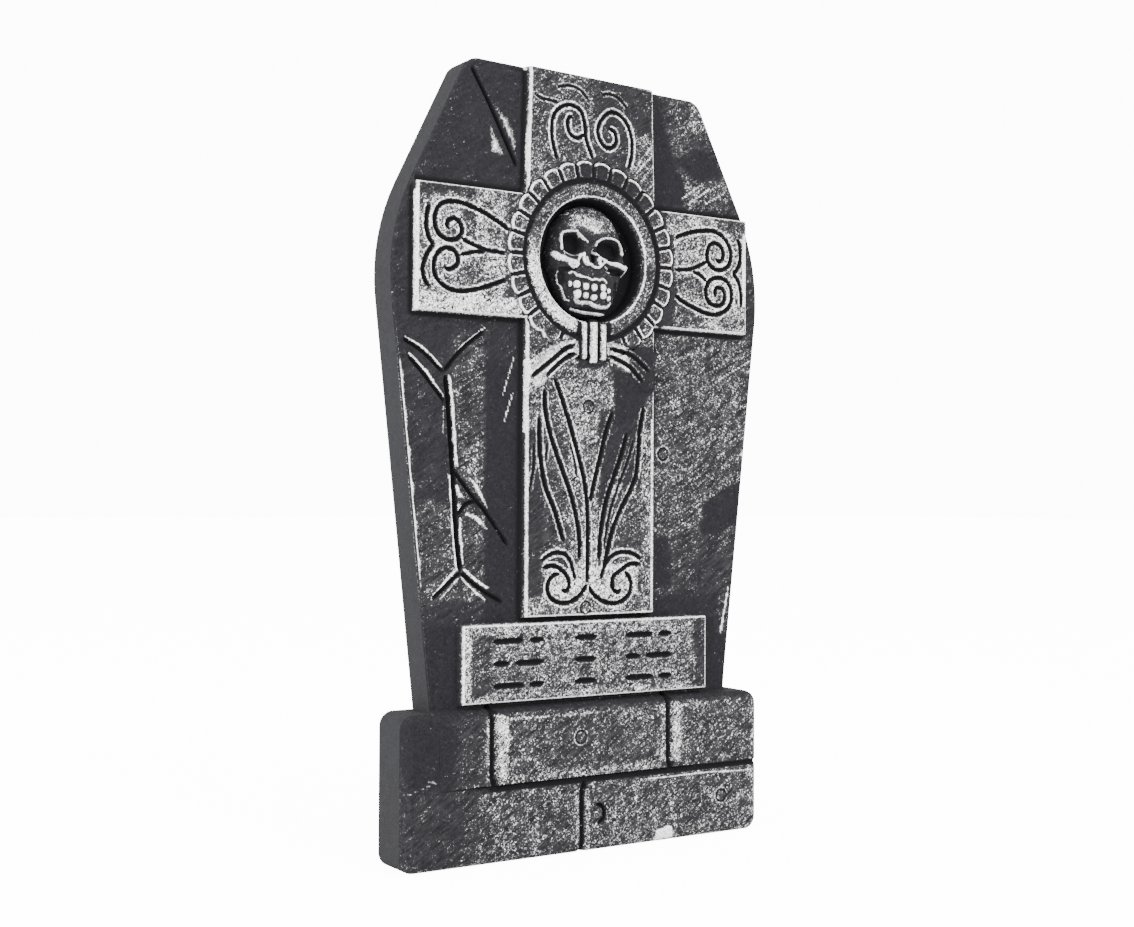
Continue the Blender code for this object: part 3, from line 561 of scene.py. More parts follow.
skullShape = {  # across and up from the medallion's middle
    "relief": 13.5,
    "fullness": 5,         # power of the rounded cross-section
    "jaw": (2.2, -19, 20, 13),  # height, place, and spread across and up of the jaw's swell
    "socketShade": 0.75,
    # each level, from the chin up, and half the width there
    "halfWidths": ((-41.5, 0), (-41, 9), (-38, 17), (-33, 21), (-28, 24), (-22, 27), (-14, 29.5), (-9, 31),
                   (-5, 35), (0, 36), (4, 34), (12, 32), (22, 29.5), (30, 24), (36, 17), (40, 8), (41.5, 0)),
    # middle, half width, half height and depth of each hollow
    "hollows": ((-15.2, 11, 9.2, 8.0, 9.0), (16.3, 8.2, 12.0, 8.0, 9.0), (1.4, 3.4, 2.3, 5.0, 5.0),
                (-25, -14, 3.2, 5.5, 3.0), (21, -6.6, 9.0, 2.6, 4.5), (-20, -7.6, 7.0, 1.8, 2.6),
                (21.5, -21, 2.4, 8.0, 2.0), (0, -35.2, 17.0, 1.2, 2.0), (-38, -4, 5.0, 9.0, 4.0)),
    # a line, its half width, its height and how white it is
    "ridges": ((((-25.3, 6.8), (-25.6, 12.5), (-25.2, 17), (-23, 19.2), (-19, 20), (-14, 20.3)),
                0.9, 2.2, 1.0),
               (((-14, 20.3), (-10, 17.8), (-6.5, 15), (-4, 13.2)), 0.6, 1.8, 1.0),
               (((2.7, 11), (4.1, 13.8), (7.8, 16.1), (13.4, 17.6), (19, 17.4), (24, 15.8), (28.2, 11.5),
                 (29, 7)), 0.75, 2.2, 1.0),
               (((0.5, 8.1), (4, 5), (7.7, 2.2), (11.5, 0.8)), 0.6, 1.6, 0.95),
               (((9, 2.2), (14, 0.2), (19, -0.8), (24, -1.5), (30, -3)), 1.8, 3.0, 0.95),
               (((30, -2.6), (33.5, -3), (34, -1)), 1.3, 2.2, 0.95),
               (((33.5, -4), (32, -7), (29.5, -9.5)), 0.8, 1.8, 0.95),
               (((10.8, -3.7), (14.1, -6.5), (18, -7.3)), 0.6, 1.5, 0.85),
               (((-7.4, 4.7), (-7.6, 0.9), (-6.3, -2.2), (-4, -3.4)), 1.1, 2.6, 0.95),
               (((-4, -3.2), (-1.7, -2.8), (0, -4.4), (4.6, -4.8), (8.3, -2.3), (10, -0.4)), 1.0, 2.6, 0.95),
               (((-5, 1.8), (-4.2, -1.4)), 1.2, 2.0, 0.75),
               (((5.6, 1.6), (6, -1.6)), 1.6, 2.4, 0.8),
               (((-30, 2.5), (-28, 0.6), (-25, 0)), 2.5, 3.0, 0.9),
               (((-23, -0.8), (-18.6, -1.6), (-14.3, -2.6)), 1.9, 2.5, 0.85),
               (((-13, -2), (-11, 1.5), (-9.7, 3.8)), 1.0, 1.4, 0.85),
               (((-20, -3.8), (-15.3, -6.2), (-12.2, -3.4)), 0.8, 1.4, 0.95),
               (((-24, 5), (-20, 3), (-15.5, 2.6), (-11, 3.6)), 0.5, 1.0, 0.6),
               (((-19.8, -10.7), (-16.5, -9.2), (-13.8, -12), (-8.7, -12.7), (-4.3, -13.1), (-0.8, -14.2),
                 (2.1, -13.2), (4.8, -13.9), (8.8, -13), (11.6, -15.3)), 0.8, 1.2, 0.9),
               (((-15, -10.8), (-9.5, -12.2)), 1.3, 1.0, 0.65),
               (((-14.3, -28.9), (-10.5, -31.2), (-2.8, -30.6), (3, -32.5), (9.5, -33.2), (15, -32.4),
                 (17, -30)), 1.5, 1.5, 0.72),
               (((-15.1, -35.7), (-6.3, -37.4), (3.1, -37.9), (15, -38.3), (20, -37.8)), 1.1, 1.8, 0.85),
               (((-27.3, -9.4), (-25.6, -17.5), (-23, -24.2), (-20.7, -29), (-18, -30.1)), 0.55, 1.6, 0.85),
               (((23, -16.3), (19.5, -24.4), (21, -30.4)), 0.45, 1.0, 0.45)),
    # middle, half width and half height of each tooth
    "teeth": ((-19.5, -18.3, 1.6, 2.2), (-14.3, -18.3, 2.9, 3.1), (-7.1, -19.4, 2.8, 2.8),
              (0.1, -19.7, 2.8, 3.0), (8.0, -19.4, 2.9, 3.0), (13.2, -21.2, 2.0, 2.0),
              (-13.4, -25.1, 3.2, 3.5), (-6.4, -25.8, 2.5, 2.5), (0.5, -26.8, 3.1, 2.5),
              (8.6, -24.8, 3.1, 3.0), (14.0, -26.5, 2.0, 2.2)),
    "toothHeight": 2.8,
    "toothPower": 2.6,     # 2 would be an ellipse, more is squarer
}


def skullRelief(points):
    # height, whiteness and shade of the skull
    shape = skullShape
    local = points - np.array((0.0, medallionShape["height"]))
    levels, widths = np.array(shape["halfWidths"], dtype=float).T
    half = np.interp(local[:, 1], levels, widths)
    across = np.clip(abs(local[:, 0]) / np.maximum(half, 1e-6), 0, 1)
    tall = levels[-1]
    upright = np.clip(1 - (abs(local[:, 1]) / tall) ** shape["fullness"], 0, 1) ** 0.5
    height = shape["relief"] * (1 - across ** shape["fullness"]) ** 0.5 * upright
    swell, jawPlace, jawWide, jawHigh = shape["jaw"]
    height += swell * np.exp(-((local[:, 0] / jawWide) ** 2 + ((local[:, 1] - jawPlace) / jawHigh) ** 2))
    white = np.zeros(len(points))
    shade = np.zeros(len(points))
    for x, z, wide, high, deep in shape["hollows"]:
        span = ((local[:, 0] - x) / wide) ** 2 + ((local[:, 1] - z) / high) ** 2
        dip = ease((1.15 - span) / 0.6)
        height -= deep * dip
        shade = np.maximum(shade, shape["socketShade"] * dip)
    for line, halfWidth, raised, strength in shape["ridges"]:
        distance = lineDistance(local, spline(line, 3))[0]
        height += raised * np.exp(-(distance / halfWidth) ** 2)
        white = np.maximum(white, strength * ease(1.7 - 1.2 * distance / halfWidth))
    for x, z, wide, high in shape["teeth"]:
        power = shape["toothPower"]
        span = abs((local[:, 0] - x) / wide) ** power + abs((local[:, 1] - z) / high) ** power
        tooth = np.clip(1 - span, 0, 1) ** 0.5
        height += shape["toothHeight"] * tooth
        white = np.maximum(white, 0.95 * ease(1.05 * tooth))
    inside = (across < 1) & (abs(local[:, 1]) < tall)
    floor = -medallionShape["recessDepth"]
    height = np.where(inside, np.maximum(height, 0) + floor, floor)
    return height, np.where(inside, white, 0), np.where(inside, shade * (1 - white), 1)


knotShape = {
    "crown": 4.0,
    # middle, half width, foot and head of each upright bar
    "bars": ((-8.7, 2.5, 352.0, 380.0), (-0.5, 3.6, 349.5, 382.0), (7.8, 2.9, 352.0, 379.0)),
    "ribbonCrown": 1.6,
    "ribbonSlope": 1.8,
    "ribbon": ((12, 369), (30, 364), (44, 357), (55, 349), (55, 334), (48, 330), (41, 332),
               (36, 340), (28, 346), (19, 351), (12, 354)),
}


def knotHeight(points, height):
    for centre, half, bottom, top in knotShape["bars"]:
        across = np.clip(abs(points[:, 0] - centre) / half, 0, 1)
        ends = np.clip(np.minimum(points[:, 1] - bottom, top - points[:, 1]) / half, 0, 1)
        rounded = np.sqrt(1 - across ** 2) * np.sqrt(1 - (1 - ends) ** 2)
        bar = crossShape["proud"] + knotShape["crown"] * rounded
        height = np.where((across < 1) & (ends > 0), np.maximum(bar, height), height)
    return height


def slabHeight(points):
    height = crossShape["proud"] * wall(insideDistance(points, crossOutline()))
    height = np.maximum(height, plaqueShape["proud"] * wall(insideDistance(points, plaqueOutline())))
    for side in (-1, 1):
        ribbonIn = insideDistance(points, ribbonOutline(side))
        raised = knotShape["ribbonCrown"] * ease(ribbonIn / knotShape["ribbonSlope"])
        height = np.where(ribbonIn > 0, np.maximum(height, crossShape["proud"] + raised), height)
    height = medallionHeight(points, height)
    height = knotHeight(points, height)
    return height - roundedDrop(insideDistance(points, slabOutline()), slabShape["edgeRadius"])


def baseHeight(points):
    inside = insideDistance(points, baseOutline())
    proud, lip, radius = baseShape["proud"], baseShape["edgeLip"], baseShape["edgeRadius"]
    rounded = proud - roundedDrop(inside, radius) * (proud - lip) / radius
    rounded += baseShape["wobble"] * waves(points, baseShape["wobbleSize"], 3.0) * ease(inside / radius)
    return np.where(inside >= 0, rounded, lip * (1 + inside / crossShape["draft"]))


def reliefHeight(points):
    inSlab = insideDistance(points, slabOutline()) > -0.3  # a hair past the edge, for the points on it
    slab = np.where(inSlab, slabHeight(points), -np.inf)
    height = np.maximum(slab, baseHeight(points))
    return height - cutDepth(points)[0]


# The mesh

meshSpacing = {"field": 2.8, "close": 1.4, "skull": 0.8, "merge": 0.22, "edge": 0.8}


def closed(loop):
    return np.vstack((loop, loop[:1]))


def circle(radius, count, swell=False):
    angle = np.arange(count) / count * 2 * math.pi
    if swell:
        radius = petalEdge(angle) + radius - medallionShape["petalRadius"]
    return np.column_stack((radius * np.cos(angle), medallionShape["height"] + radius * np.sin(angle)))


def cutLines(line, kind):
    halfWidth = cutKinds[kind][0]
    before = np.vstack((line[:1], line[:-1]))
    after = np.vstack((line[1:], line[-1:]))
    tangent = after - before
    tangent /= np.hypot(*tangent.T)[:, None]
    normal = np.column_stack((-tangent[:, 1], tangent[:, 0]))
    along = np.concatenate(((0.0,), np.cumsum(np.hypot(*np.diff(line, axis=0).T))))
    side = normal * (halfWidth * taper(along, along[-1], halfWidth))[:, None]
    return [line] + [(line + share * side)[1:-1] for share in (-1.8, -1, -0.5, 0.5, 1, 1.8)]


def meshLines():
    # the lines that the mesh has to follow, so that lips and walls stay crisp
    lines = []
    for line, kind in allCuts:
        lines += cutLines(line, kind)
    for share in (0.1, 0.4, 1.0):
        lines.append(closed(offsetLoop(slabOutline(), -share * slabShape["edgeRadius"])))
        lines.append(closed(offsetLoop(baseOutline(), -share * baseShape["edgeRadius"])))
    lines.append(closed(offsetLoop(baseOutline(), crossShape["draft"])))
    draft, soft = crossShape["draft"], crossShape["round"]
    for loop in (crossOutline(), plaqueOutline()):
        for share in (0, 0.25, 0.5, 0.75, 1):
            lines.append(closed(divided(offsetLoop(loop, draft - share * (draft + soft)), 6.0)))
    for side in (-1, 1):
        for inset in (0, knotShape["ribbonSlope"]):
            lines.append(closed(offsetLoop(ribbonOutline(side), -inset)))
    shape = medallionShape
    for share in (0.0, 0.06, 0.25, 0.5, 0.75, 0.94, 1.0):
        lines.append(closed(circle(shape["recess"] + share * shape["ringWidth"], 6 * shape["petals"])))
    for inset in (0.6, 1.2, 1.8):
        lines.append(closed(circle(shape["recess"] - inset, 120)))
    for outset in (0.0, 0.7, 1.4, 2.6):
        lines.append(closed(circle(petalFeet() - 0.6 + outset, 6 * shape["petals"])))
        lines.append(closed(circle(shape["petalRadius"] - 0.6 - outset, 8 * shape["petals"], swell=True)))
    for petal in range(shape["petals"]):
        angle = petal / shape["petals"] * 2 * math.pi
        spoke = np.array((math.cos(angle), math.sin(angle)))
        across = np.array((-spoke[1], spoke[0]))
        reach = np.linspace(petalFeet(), shape["petalRadius"] - shape["petalNotch"], 8)[:, None] * spoke
        for side in (-2.2, -1.1, 0, 1.1, 2.2):
            lines.append(np.array((0, shape["height"])) + reach + side * across)
    for outset in (-soft, 0, 0.5 * draft, draft):
        lines.append(closed(circle(shape["petalRadius"] + outset, 8 * shape["petals"], swell=True)))
    for centre, half, bottom, top in knotShape["bars"]:
        for share in (-1, -0.8, -0.4, 0, 0.4, 0.8, 1):
            x = centre + share * half
            lines.append(straight((x, bottom + 0.3 * half), (x, top - 0.3 * half), 20))
    return lines


def spacingWanted(points):
    # close on the cross, the plaque, the cuts and the painted marks, and closest on the skull
    margin, paintMargin = 3, 2
    wanted = np.full(len(points), meshSpacing["field"])
    close = insideDistance(points, crossOutline()) > -margin
    close |= insideDistance(points, plaqueOutline()) > -margin
    radius = medallionPolar(points)[0]
    close |= radius < medallionShape["petalRadius"] + margin
    close |= cutDepth(points)[1] < margin
    for corners, *_ in brushSpots:
        close |= insideDistance(points, np.array(corners, dtype=float)) > -paintMargin
    for line, *_ in brushLines:
        close |= lineDistance(points, np.array(line, dtype=float))[0] < paintMargin
    wanted[close] = meshSpacing["close"]
    wanted[radius < medallionShape["recess"]] = meshSpacing["skull"]
    return wanted


def sheetPoints():
    # a grid over the front, subdivided where the carving is close
    low, high = cadLow[[0, 2]], cadHigh[[0, 2]]
    spacing = meshSpacing["field"]
    columns, rows = np.ceil((high - low) / spacing).astype(int)
    bpy.ops.object.select_all(action="DESELECT")
    bpy.ops.mesh.primitive_grid_add(x_subdivisions=int(columns), y_subdivisions=int(rows), size=1)
    sheet = bpy.context.object
    sheet.scale = (*(high - low), 1)
    sheet.location = (*((low + high) / 2), 0)
    bpy.ops.object.transform_apply(location=True, rotation=True, scale=True)
    while spacing > meshSpacing["skull"]:
        mesh = sheet.data
        centres = np.empty(3 * len(mesh.polygons))
        mesh.polygons.foreach_get("center", centres)
        finer = spacingWanted(centres.reshape(-1, 3)[:, :2]) < 0.9 * spacing
        sizes = np.empty(len(mesh.polygons))
        mesh.polygons.foreach_get("area", sizes)
        finer &= sizes > (0.75 * spacing) ** 2
        if not finer.any():
            break
        mesh.polygons.foreach_set("select", finer)
        mesh.edges.foreach_set("select", np.zeros(len(mesh.edges), dtype=bool))
        mesh.vertices.foreach_set("select", np.zeros(len(mesh.vertices), dtype=bool))
        bpy.ops.object.mode_set(mode="EDIT")
        bpy.ops.mesh.select_mode(type="FACE")
        bpy.ops.mesh.subdivide(number_cuts=1)
        bpy.ops.object.mode_set(mode="OBJECT")
        spacing /= 2
    points = np.empty(3 * len(sheet.data.vertices))
    sheet.data.vertices.foreach_get("co", points)
    bpy.data.objects.remove(sheet, do_unlink=True)
    return points.reshape(-1, 3)[:, :2]


def makeFront():
    outline = wholeOutline()
    vertices = [Vector(point) for point in outline]
    edges = [(index, (index + 1) % len(outline)) for index in range(len(outline))]
    for line in meshLines():
        first = len(vertices)
        vertices += [Vector(point) for point in line]
        edges += [(first + index, first + index + 1) for index in range(len(line) - 1)]
    sheet = sheetPoints()
    sheet = sheet[insideDistance(sheet, outline) > meshSpacing["edge"]]
    vertices += [Vector(point) for point in sheet]
    points, _, triangles, _, _, _ = delaunay_2d_cdt(vertices, edges, [], 0, meshSpacing["merge"])
    points = np.array([tuple(point) for point in points])
    triangles = np.array(triangles)
    triangles = triangles[insideDistance(points[triangles].mean(axis=1), outline) > 0]
    a, b, c = points[triangles[:, 0]], points[triangles[:, 1]], points[triangles[:, 2]]
    turn = (b[:, 0] - a[:, 0]) * (c[:, 1] - a[:, 1]) - (b[:, 1] - a[:, 1]) * (c[:, 0] - a[:, 0])
    triangles[turn < 0] = triangles[turn < 0][:, ::-1]
    used, numbers = np.unique(triangles, return_inverse=True)
    return points[used], numbers.reshape(-1, 3)


def makeHeadstone():
    points, triangles = makeFront()
    height = reliefHeight(points)
    places = np.column_stack((points[:, 0], slabFace - height, points[:, 1])) * mm
    mesh = bpy.data.meshes.new("headstoneSkin")
    mesh.from_pydata(places.tolist(), [], triangles.tolist())
    headstone = bpy.data.objects.new("headstoneSkin", mesh)
    bpy.context.collection.objects.link(headstone)
    bpy.ops.object.select_all(action="DESELECT")
    headstone.select_set(True)
    bpy.context.view_layer.objects.active = headstone
    bpy.ops.object.mode_set(mode="EDIT")
    bpy.ops.mesh.select_mode(type="EDGE")
    bpy.ops.mesh.select_all(action="DESELECT")
    bpy.ops.mesh.select_non_manifold(extend=False, use_wire=False, use_boundary=True, use_multi_face=False,
                                     use_non_contiguous=False, use_verts=False)
    bpy.ops.mesh.mark_sharp()
    bpy.ops.mesh.extrude_region_move(TRANSFORM_OT_translate={"value": (0, 2 * slabShape["depth"] * mm, 0)})
    bpy.ops.object.mode_set(mode="OBJECT")
    coordinates = np.empty(3 * len(mesh.vertices))
    mesh.vertices.foreach_get("co", coordinates)
    coordinates = coordinates.reshape(-1, 3)
    coordinates[:, 1] = np.minimum(coordinates[:, 1], cadHigh[1] * mm)
    mesh.vertices.foreach_set("co", coordinates.ravel())
    bpy.ops.object.mode_set(mode="EDIT")
    bpy.ops.mesh.edge_face_add()
    bpy.ops.mesh.bevel(offset=slabShape["backRound"] * mm, segments=2, affect="EDGES")
    bpy.ops.mesh.select_all(action="SELECT")
    bpy.ops.mesh.normals_make_consistent(inside=False)
    bpy.ops.object.mode_set(mode="OBJECT")
    print("headstone modelled:", len(mesh.polygons), "faces")
    return headstone


# Paint: where the dry brush left white, as a share of the surface

brushZones = (  # left, right, bottom, top, softness, share of white
    (-170, 170, 0, 108, 6, 0.46), (-170, -108, 52, 108, 10, 0.02), (-170, -100, 0, 52, 30, 0.22),
    (-112, -89, 55, 103, 5, 0.30), (-30, 20, 58, 98, 8, 0.40), (-170, 170, 103, 109, 2, 0.08),
    (-160, -57, 165, 570, 1, 0.10), (-145, -84, 178, 252, 5, 0.39), (-112, -84, 250, 366, 6, 0.36),
    (-146, -116, 255, 345, 6, 0.16), (-84, -56, 165, 345, 1.5, 0.0), (-130, -86, 165, 180, 5, 0.16),
    (-160, -56, 468, 570, 8, 0.08), (-100, -90, 255, 292, 5, 0.52), (0, 155, 0, 48, 6, 0.50),
    (57, 160, 165, 570, 1, 0.24), (60, 152, 225, 378, 10, 0.45), (60, 104, 180, 225, 8, 0.30),
    (57, 76, 186, 224, 4, 0.04), (57, 120, 165, 180, 4, 0.05),
    (84, 130, 474, 500, 6, 0.50), (74, 108, 508, 556, 6, 0.36), (88, 112, 532, 558, 6, 0.58),
    (120, 134, 150, 230, 3, 0.30),
    (-56, 56, 165, 570, 1, 0.48), (-50, -4, 492, 556, 8, 0.42), (0, 34, 490, 560, 8, 0.30),
    (8, 54, 524, 562, 8, 0.20), (36, 56, 486, 520, 8, 0.52),
    (-143, -72, 379, 468, 1, 0.68), (-143, -97, 460, 474, 8, 0.18), (-108, -98, 432, 450, 3, 0.35),
    (-112, -90, 400, 417, 5, 0.52), (-74, -60, 380, 468, 4, 0.45), (-143, -60, 379, 392, 2, 0.88),
    (72, 143, 379, 468, 1, 0.68), (112, 143, 456, 470, 6, 0.40), (62, 98, 382, 400, 4, 0.46),
    (74, 100, 404, 420, 4, 0.50), (60, 74, 380, 468, 3, 0.16), (66, 84, 450, 468, 3, 0.66),
    (-29, 18, 256, 346, 3, 0.57), (8, 42, 200, 318, 3, 0.13), (-57, -46, 298, 354, 4, 0.58),
    (-56, -40, 182, 298, 6, 0.20), (-42, -22, 205, 300, 4, 0.40), (-20, -8, 215, 300, 3, 0.55),
    (-9, 5, 195, 252, 1.5, 0.66), (30, 57, 330, 364, 3, 0.04),
    # the zone from -12 to 12 across and 347 to 353 up, under the knot, holds little white: a painted shadow
    (-12, 12, 347, 353, 3, 0.10), (43, 56, 170, 306, 1, 0.62), (18, 43, 205, 262, 4, 0.42),
    (-44, 42, 176, 205, 4, 0.86), (-56, 56, 166, 182, 3, 0.60), (-56, -42, 186, 240, 6, 0.22),
    (-105, 106, 110, 165, 1, 0.56), (-105, -98, 110, 165, 1, 0.80), (-98, -82, 112, 160, 3, 0.36),
    (-105, 60, 157, 165, 1.5, 0.70), (-105, 90, 110, 116, 1.5, 0.66), (94, 106, 112, 162, 3, 0.30),
    (-79.5, -71.5, 58, 103, 2.5, 0.84), (71, 78, 58, 103, 2.5, 0.82), (-89, -86, 58, 102, 1, 0.70),
    (60, 64, 58, 102, 1, 0.70), (-16, -12, 8, 48, 1.5, 0.60), (143, 153, 8, 100, 4, 0.60),
    (-80, 60, 54, 60, 2, 0.62), (-146, 150, 0, 2.6, 1, 0.64),
)
brushGaps = (  # places the brush missed: corner points
    ((19, 344), (34, 346), (53, 331), (47, 321), (38, 313), (20, 304)),
    ((105, 247), (147, 270), (152, 262), (151, 240), (120, 225), (106, 226)),
    ((57, 560), (61, 556), (67, 535), (76, 512), (83, 495), (87, 486), (82, 476), (57, 470)),
    ((77, 508), (104, 520), (113, 516), (124, 500), (108, 496), (90, 497)),
    ((57, 372), (57, 470), (61, 470), (61, 372)),
)
brushSpots = (  # places painted or worn white: corner points, share of white and softness
    (((-83, 532), (-61, 491), (-59.5, 504), (-67, 521)), 0.7, 6.5),
    (((-83.5, 518), (-82.5, 494), (-69, 492)), 0.74, 5.5),
    (((-110, 267), (-101, 252), (-108, 252)), 0.97, 1.6),
    (((-107.5, 249), (-102.5, 247), (-107, 242)), 0.9, 1.2),
    (((-101, 270), (-90, 262), (-82, 246), (-82, 242), (-92, 256)), 0.9, 2.6),
    (((-104, 241), (-98, 243), (-90, 240), (-82, 231), (-83, 229), (-94, 237)), 0.9, 2.6),
    (((53, 1), (72, 1), (70, 11), (66, 12.5), (55, 10)), 1.0, 1.5),
)
brushLines = (  # single drags of the brush and worn lips of cracks: line, half width, share of white
    (((118, 342), (152, 360)), 0.5, 0.85), (((100, 332), (122, 343)), 0.5, 0.6),
    (((-71, 325), (-62, 352)), 0.5, 0.75), (((-70, 306), (-63, 326)), 0.5, 0.75),
    (((-150, 54), (-126, 61)), 0.4, 0.5), (((-134, 61), (-112, 66)), 0.4, 0.45),
    (((92, 476), (112, 490)), 0.7, 0.8), (((86, 480), (104, 492)), 0.5, 0.8),
    (((108, 478), (126, 488)), 0.6, 0.8), (((38, 492), (50, 505)), 0.6, 0.85),
    (((40, 500), (52, 514)), 0.5, 0.85), (((45, 490), (54, 500)), 0.5, 0.8),
    (((70, 320), (92, 334)), 0.4, 0.7), (((64, 344), (84, 356)), 0.4, 0.7),
    (((112, 300), (132, 312)), 0.4, 0.7), (((124, 152), (131, 184)), 0.8, 0.8),
    (((-55, 541), (-54.7, 559)), 0.6, 0.95), (((-55.4, 482), (-55, 535)), 0.5, 0.95),
    (((-55, 300), (-55, 350)), 0.8, 0.9), (((-54.8, 272), (-54.5, 302)), 0.5, 0.9),
    (((-54, 206), (-54.5, 240)), 0.6, 0.9), (((53, 172), (53, 310)), 0.6, 0.9),
    (((-142.5, 380), (-142.5, 460)), 1.0, 1.0), (((140, 402), (140, 455)), 1.0, 0.95),
    (((45, 48), (95, 47.4), (148, 46)), 0.5, 0.8),
    (((-114, 336), (-111.2, 318), (-109.4, 295), (-107.7, 275)), 0.8, 1.0),
    (((-104.6, 238), (-103.9, 225), (-102.5, 207)), 0.6, 0.95),
    (((-113.4, 268), (-111.8, 250), (-110.2, 225), (-107.3, 203)), 0.6, 0.9),
    (((-148, 360.6), (-134, 354.4), (-120, 341.5)), 0.6, 0.95),
    (((-145, 350), (-131, 338), (-119, 322)), 0.6, 0.95),
    (((-116.5, 342), (-104, 357.3), (-86, 371)), 0.5, 0.9),
    (((-118.5, 316), (-118.8, 296)), 0.5, 0.5),
    (((-107.5, 202.5), (-115.5, 195.5), (-127, 184)), 0.6, 0.95),
    (((-106, 196.5), (-113, 190), (-120, 183)), 0.6, 0.75),
    (((-101.5, 203), (-92, 195.5), (-83, 190)), 0.7, 0.95),
    (((-103, 197), (-94, 188.5), (-85, 182)), 0.6, 0.85),
)


brushWork = {  # shares of white
    "missed": 0.94,            # what the brush's gaps take away
    "ring": 0.50,
    "ringLeft": 0.40,          # more at the ring's lower left
    "ringFoot": 0.3,           # less at its outer foot
    "petals": 0.46,
    "petalsTop": 0.34,         # less on the petals at the top
    "recess": 0.16,
    "forehead": ((-22, 24, 444, 464, 6, 0.36), (-18, 12, 446, 456, 5, 0.32)),
    "edge": (0.3, 0.65),       # an edge's least white, and what a busy brush adds
    "lip": (0.45, 0.55),
    "slabRim": 0.95,
    "ribbon": 0.66,
    "bar": 0.78,
    "petalRim": (0.92, 0.5),   # the petals' sides, and how much less at the top
    "petalEnd": 0.95,
    "recessLip": 0.92,
    "ventInside": 0.3,         # what is left of the white inside a vent mark
    "jointSlope": 0.72,
    "courseLeft": 0.65,        # how much paler the course joint is at its left end
}
brushPlaces = {  # in millimetres, and in degrees round the medallion
    "wander": 4.0,             # how far the zones' edges wander, and over what size
    "wanderSize": 16.0,
    "softZone": 3,             # a zone at least this soft has a wandering edge
    "gapSoft": 2.5,
    "lowerLeft": (150, 40, 275, 30),  # from, softness, to, softness
    "atTop": (30, 20, 112, 16),
    "knotHead": 366,           # no petals below it
    "edgeLine": (0.7, 0.5),    # how far inside an edge its white line runs, and half its width
    "slabRimLine": (1.0, 0.65),
    "slabRimEnds": (185, 6, 345, 10),
    "petalLine": (0.6, 0.45),
    "petalEndLine": (1.1, 0.75),
    "recessLine": (0.9, 0.5),
    "ribbonMissed": 34,        # right of here the brush missed the ribbon
    # the box of the painted shadow beside the knot's bars: half its width, its foot and its head
    "shadowBesideBars": (15, 352, 379.5),
    "slopes": (0.6, 1.6, 5.6, 1.2),   # across a joint, from its middle
    "courseFades": -84,
}


def softSpan(value, low, lowSoft, high, highSoft):
    # 1 between low and high, falling off inside them
    return ease((value - low) / lowSoft) * ease((high - value) / highSoft)


def softBox(points, left, right, bottom, top, soft):
    across = ease((points[:, 0] - left) / soft + 0.5) * ease((right - points[:, 0]) / soft + 0.5)
    return across * ease((points[:, 1] - bottom) / soft + 0.5) * ease((top - points[:, 1]) / soft + 0.5)


def zoneCover(points, uneven):
    cover = np.zeros(len(points))
    for left, right, bottom, top, soft, share in brushZones:
        ground = uneven if soft >= brushPlaces["softZone"] else points
        mask = softBox(ground, left, right, bottom, top, soft)
        cover = cover * (1 - mask) + share * mask
    for corners in brushGaps:
        inside = insideDistance(uneven, np.array(corners, dtype=float))
        cover *= 1 - brushWork["missed"] * ease(inside / brushPlaces["gapSoft"] + 0.5)
    return cover


def medallionPlaces(points):
    # where each point lies on the medallion
    shape = medallionShape
    radius, angle = medallionPolar(points)
    turn = np.degrees(angle) % 360
    ringOuter = shape["recess"] + shape["ringWidth"]
    edge = petalEdge(angle)
    aboveKnot = points[:, 1] > brushPlaces["knotHead"]
    return {
        "radius": radius,
        "edge": edge,
        "ringOuter": ringOuter,
        "inPetal": petalInside(radius, angle),
        "onRing": (radius >= shape["recess"]) & (radius <= ringOuter),
        "onPetals": (radius > ringOuter) & (radius <= edge) & aboveKnot,
        "inRecess": radius < shape["recess"] - 0.4,
        "lowerLeft": softSpan(turn, *brushPlaces["lowerLeft"]),
        "atTop": softSpan(turn, *brushPlaces["atTop"]),
    }


def medallionCover(cover, uneven, medallion):
    work = brushWork
    ringFoot = ease((medallion["radius"] - medallion["ringOuter"] + 1.5) / 1.5)
    ring = work["ring"] + work["ringLeft"] * medallion["lowerLeft"] - work["ringFoot"] * ringFoot
    cover = np.where(medallion["onRing"], ring, cover)
    petals = (work["petals"] - work["petalsTop"] * medallion["atTop"]) * ease(medallion["inPetal"] / 1.2)
    cover = np.where(medallion["onPetals"], petals, cover)
    forehead = sum(share * softBox(uneven, *box) for *box, share in work["forehead"])
    return np.where(medallion["inRecess"], work["recess"] + forehead, cover)


def edgeWhite(points, insides, medallion, lively):
    # the raised edges of cross and plaque, and the slab's worn left edge
    least, added = brushWork["edge"]
    offMedallion = medallion["radius"] > medallion["edge"] + 1
    crossEdge, plaqueEdge = [band(insides[name], *brushPlaces["edgeLine"]) for name in ("cross", "plaque")]
    edges = np.maximum(np.where(offMedallion, crossEdge, 0), plaqueEdge)
    slabRim = band(insides["slab"], *brushPlaces["slabRimLine"]) * ease((-100 - points[:, 0]) / 10)
    slabRim *= softSpan(points[:, 1], *brushPlaces["slabRimEnds"])
    return np.maximum(edges * (least + added * lively), brushWork["slabRim"] * slabRim)


def ribbonWhite(points, lip):
    white = np.zeros(len(points))
    for side in (-1, 1):
        onRibbon = ease(insideDistance(points, ribbonOutline(side)) / 0.8) * ease((lip - 0.1) / 0.8)
        fade = ease((brushPlaces["ribbonMissed"] - points[:, 0]) / 4) if side > 0 else 1.0
        white = np.maximum(white, brushWork["ribbon"] * onRibbon * fade)
    return white


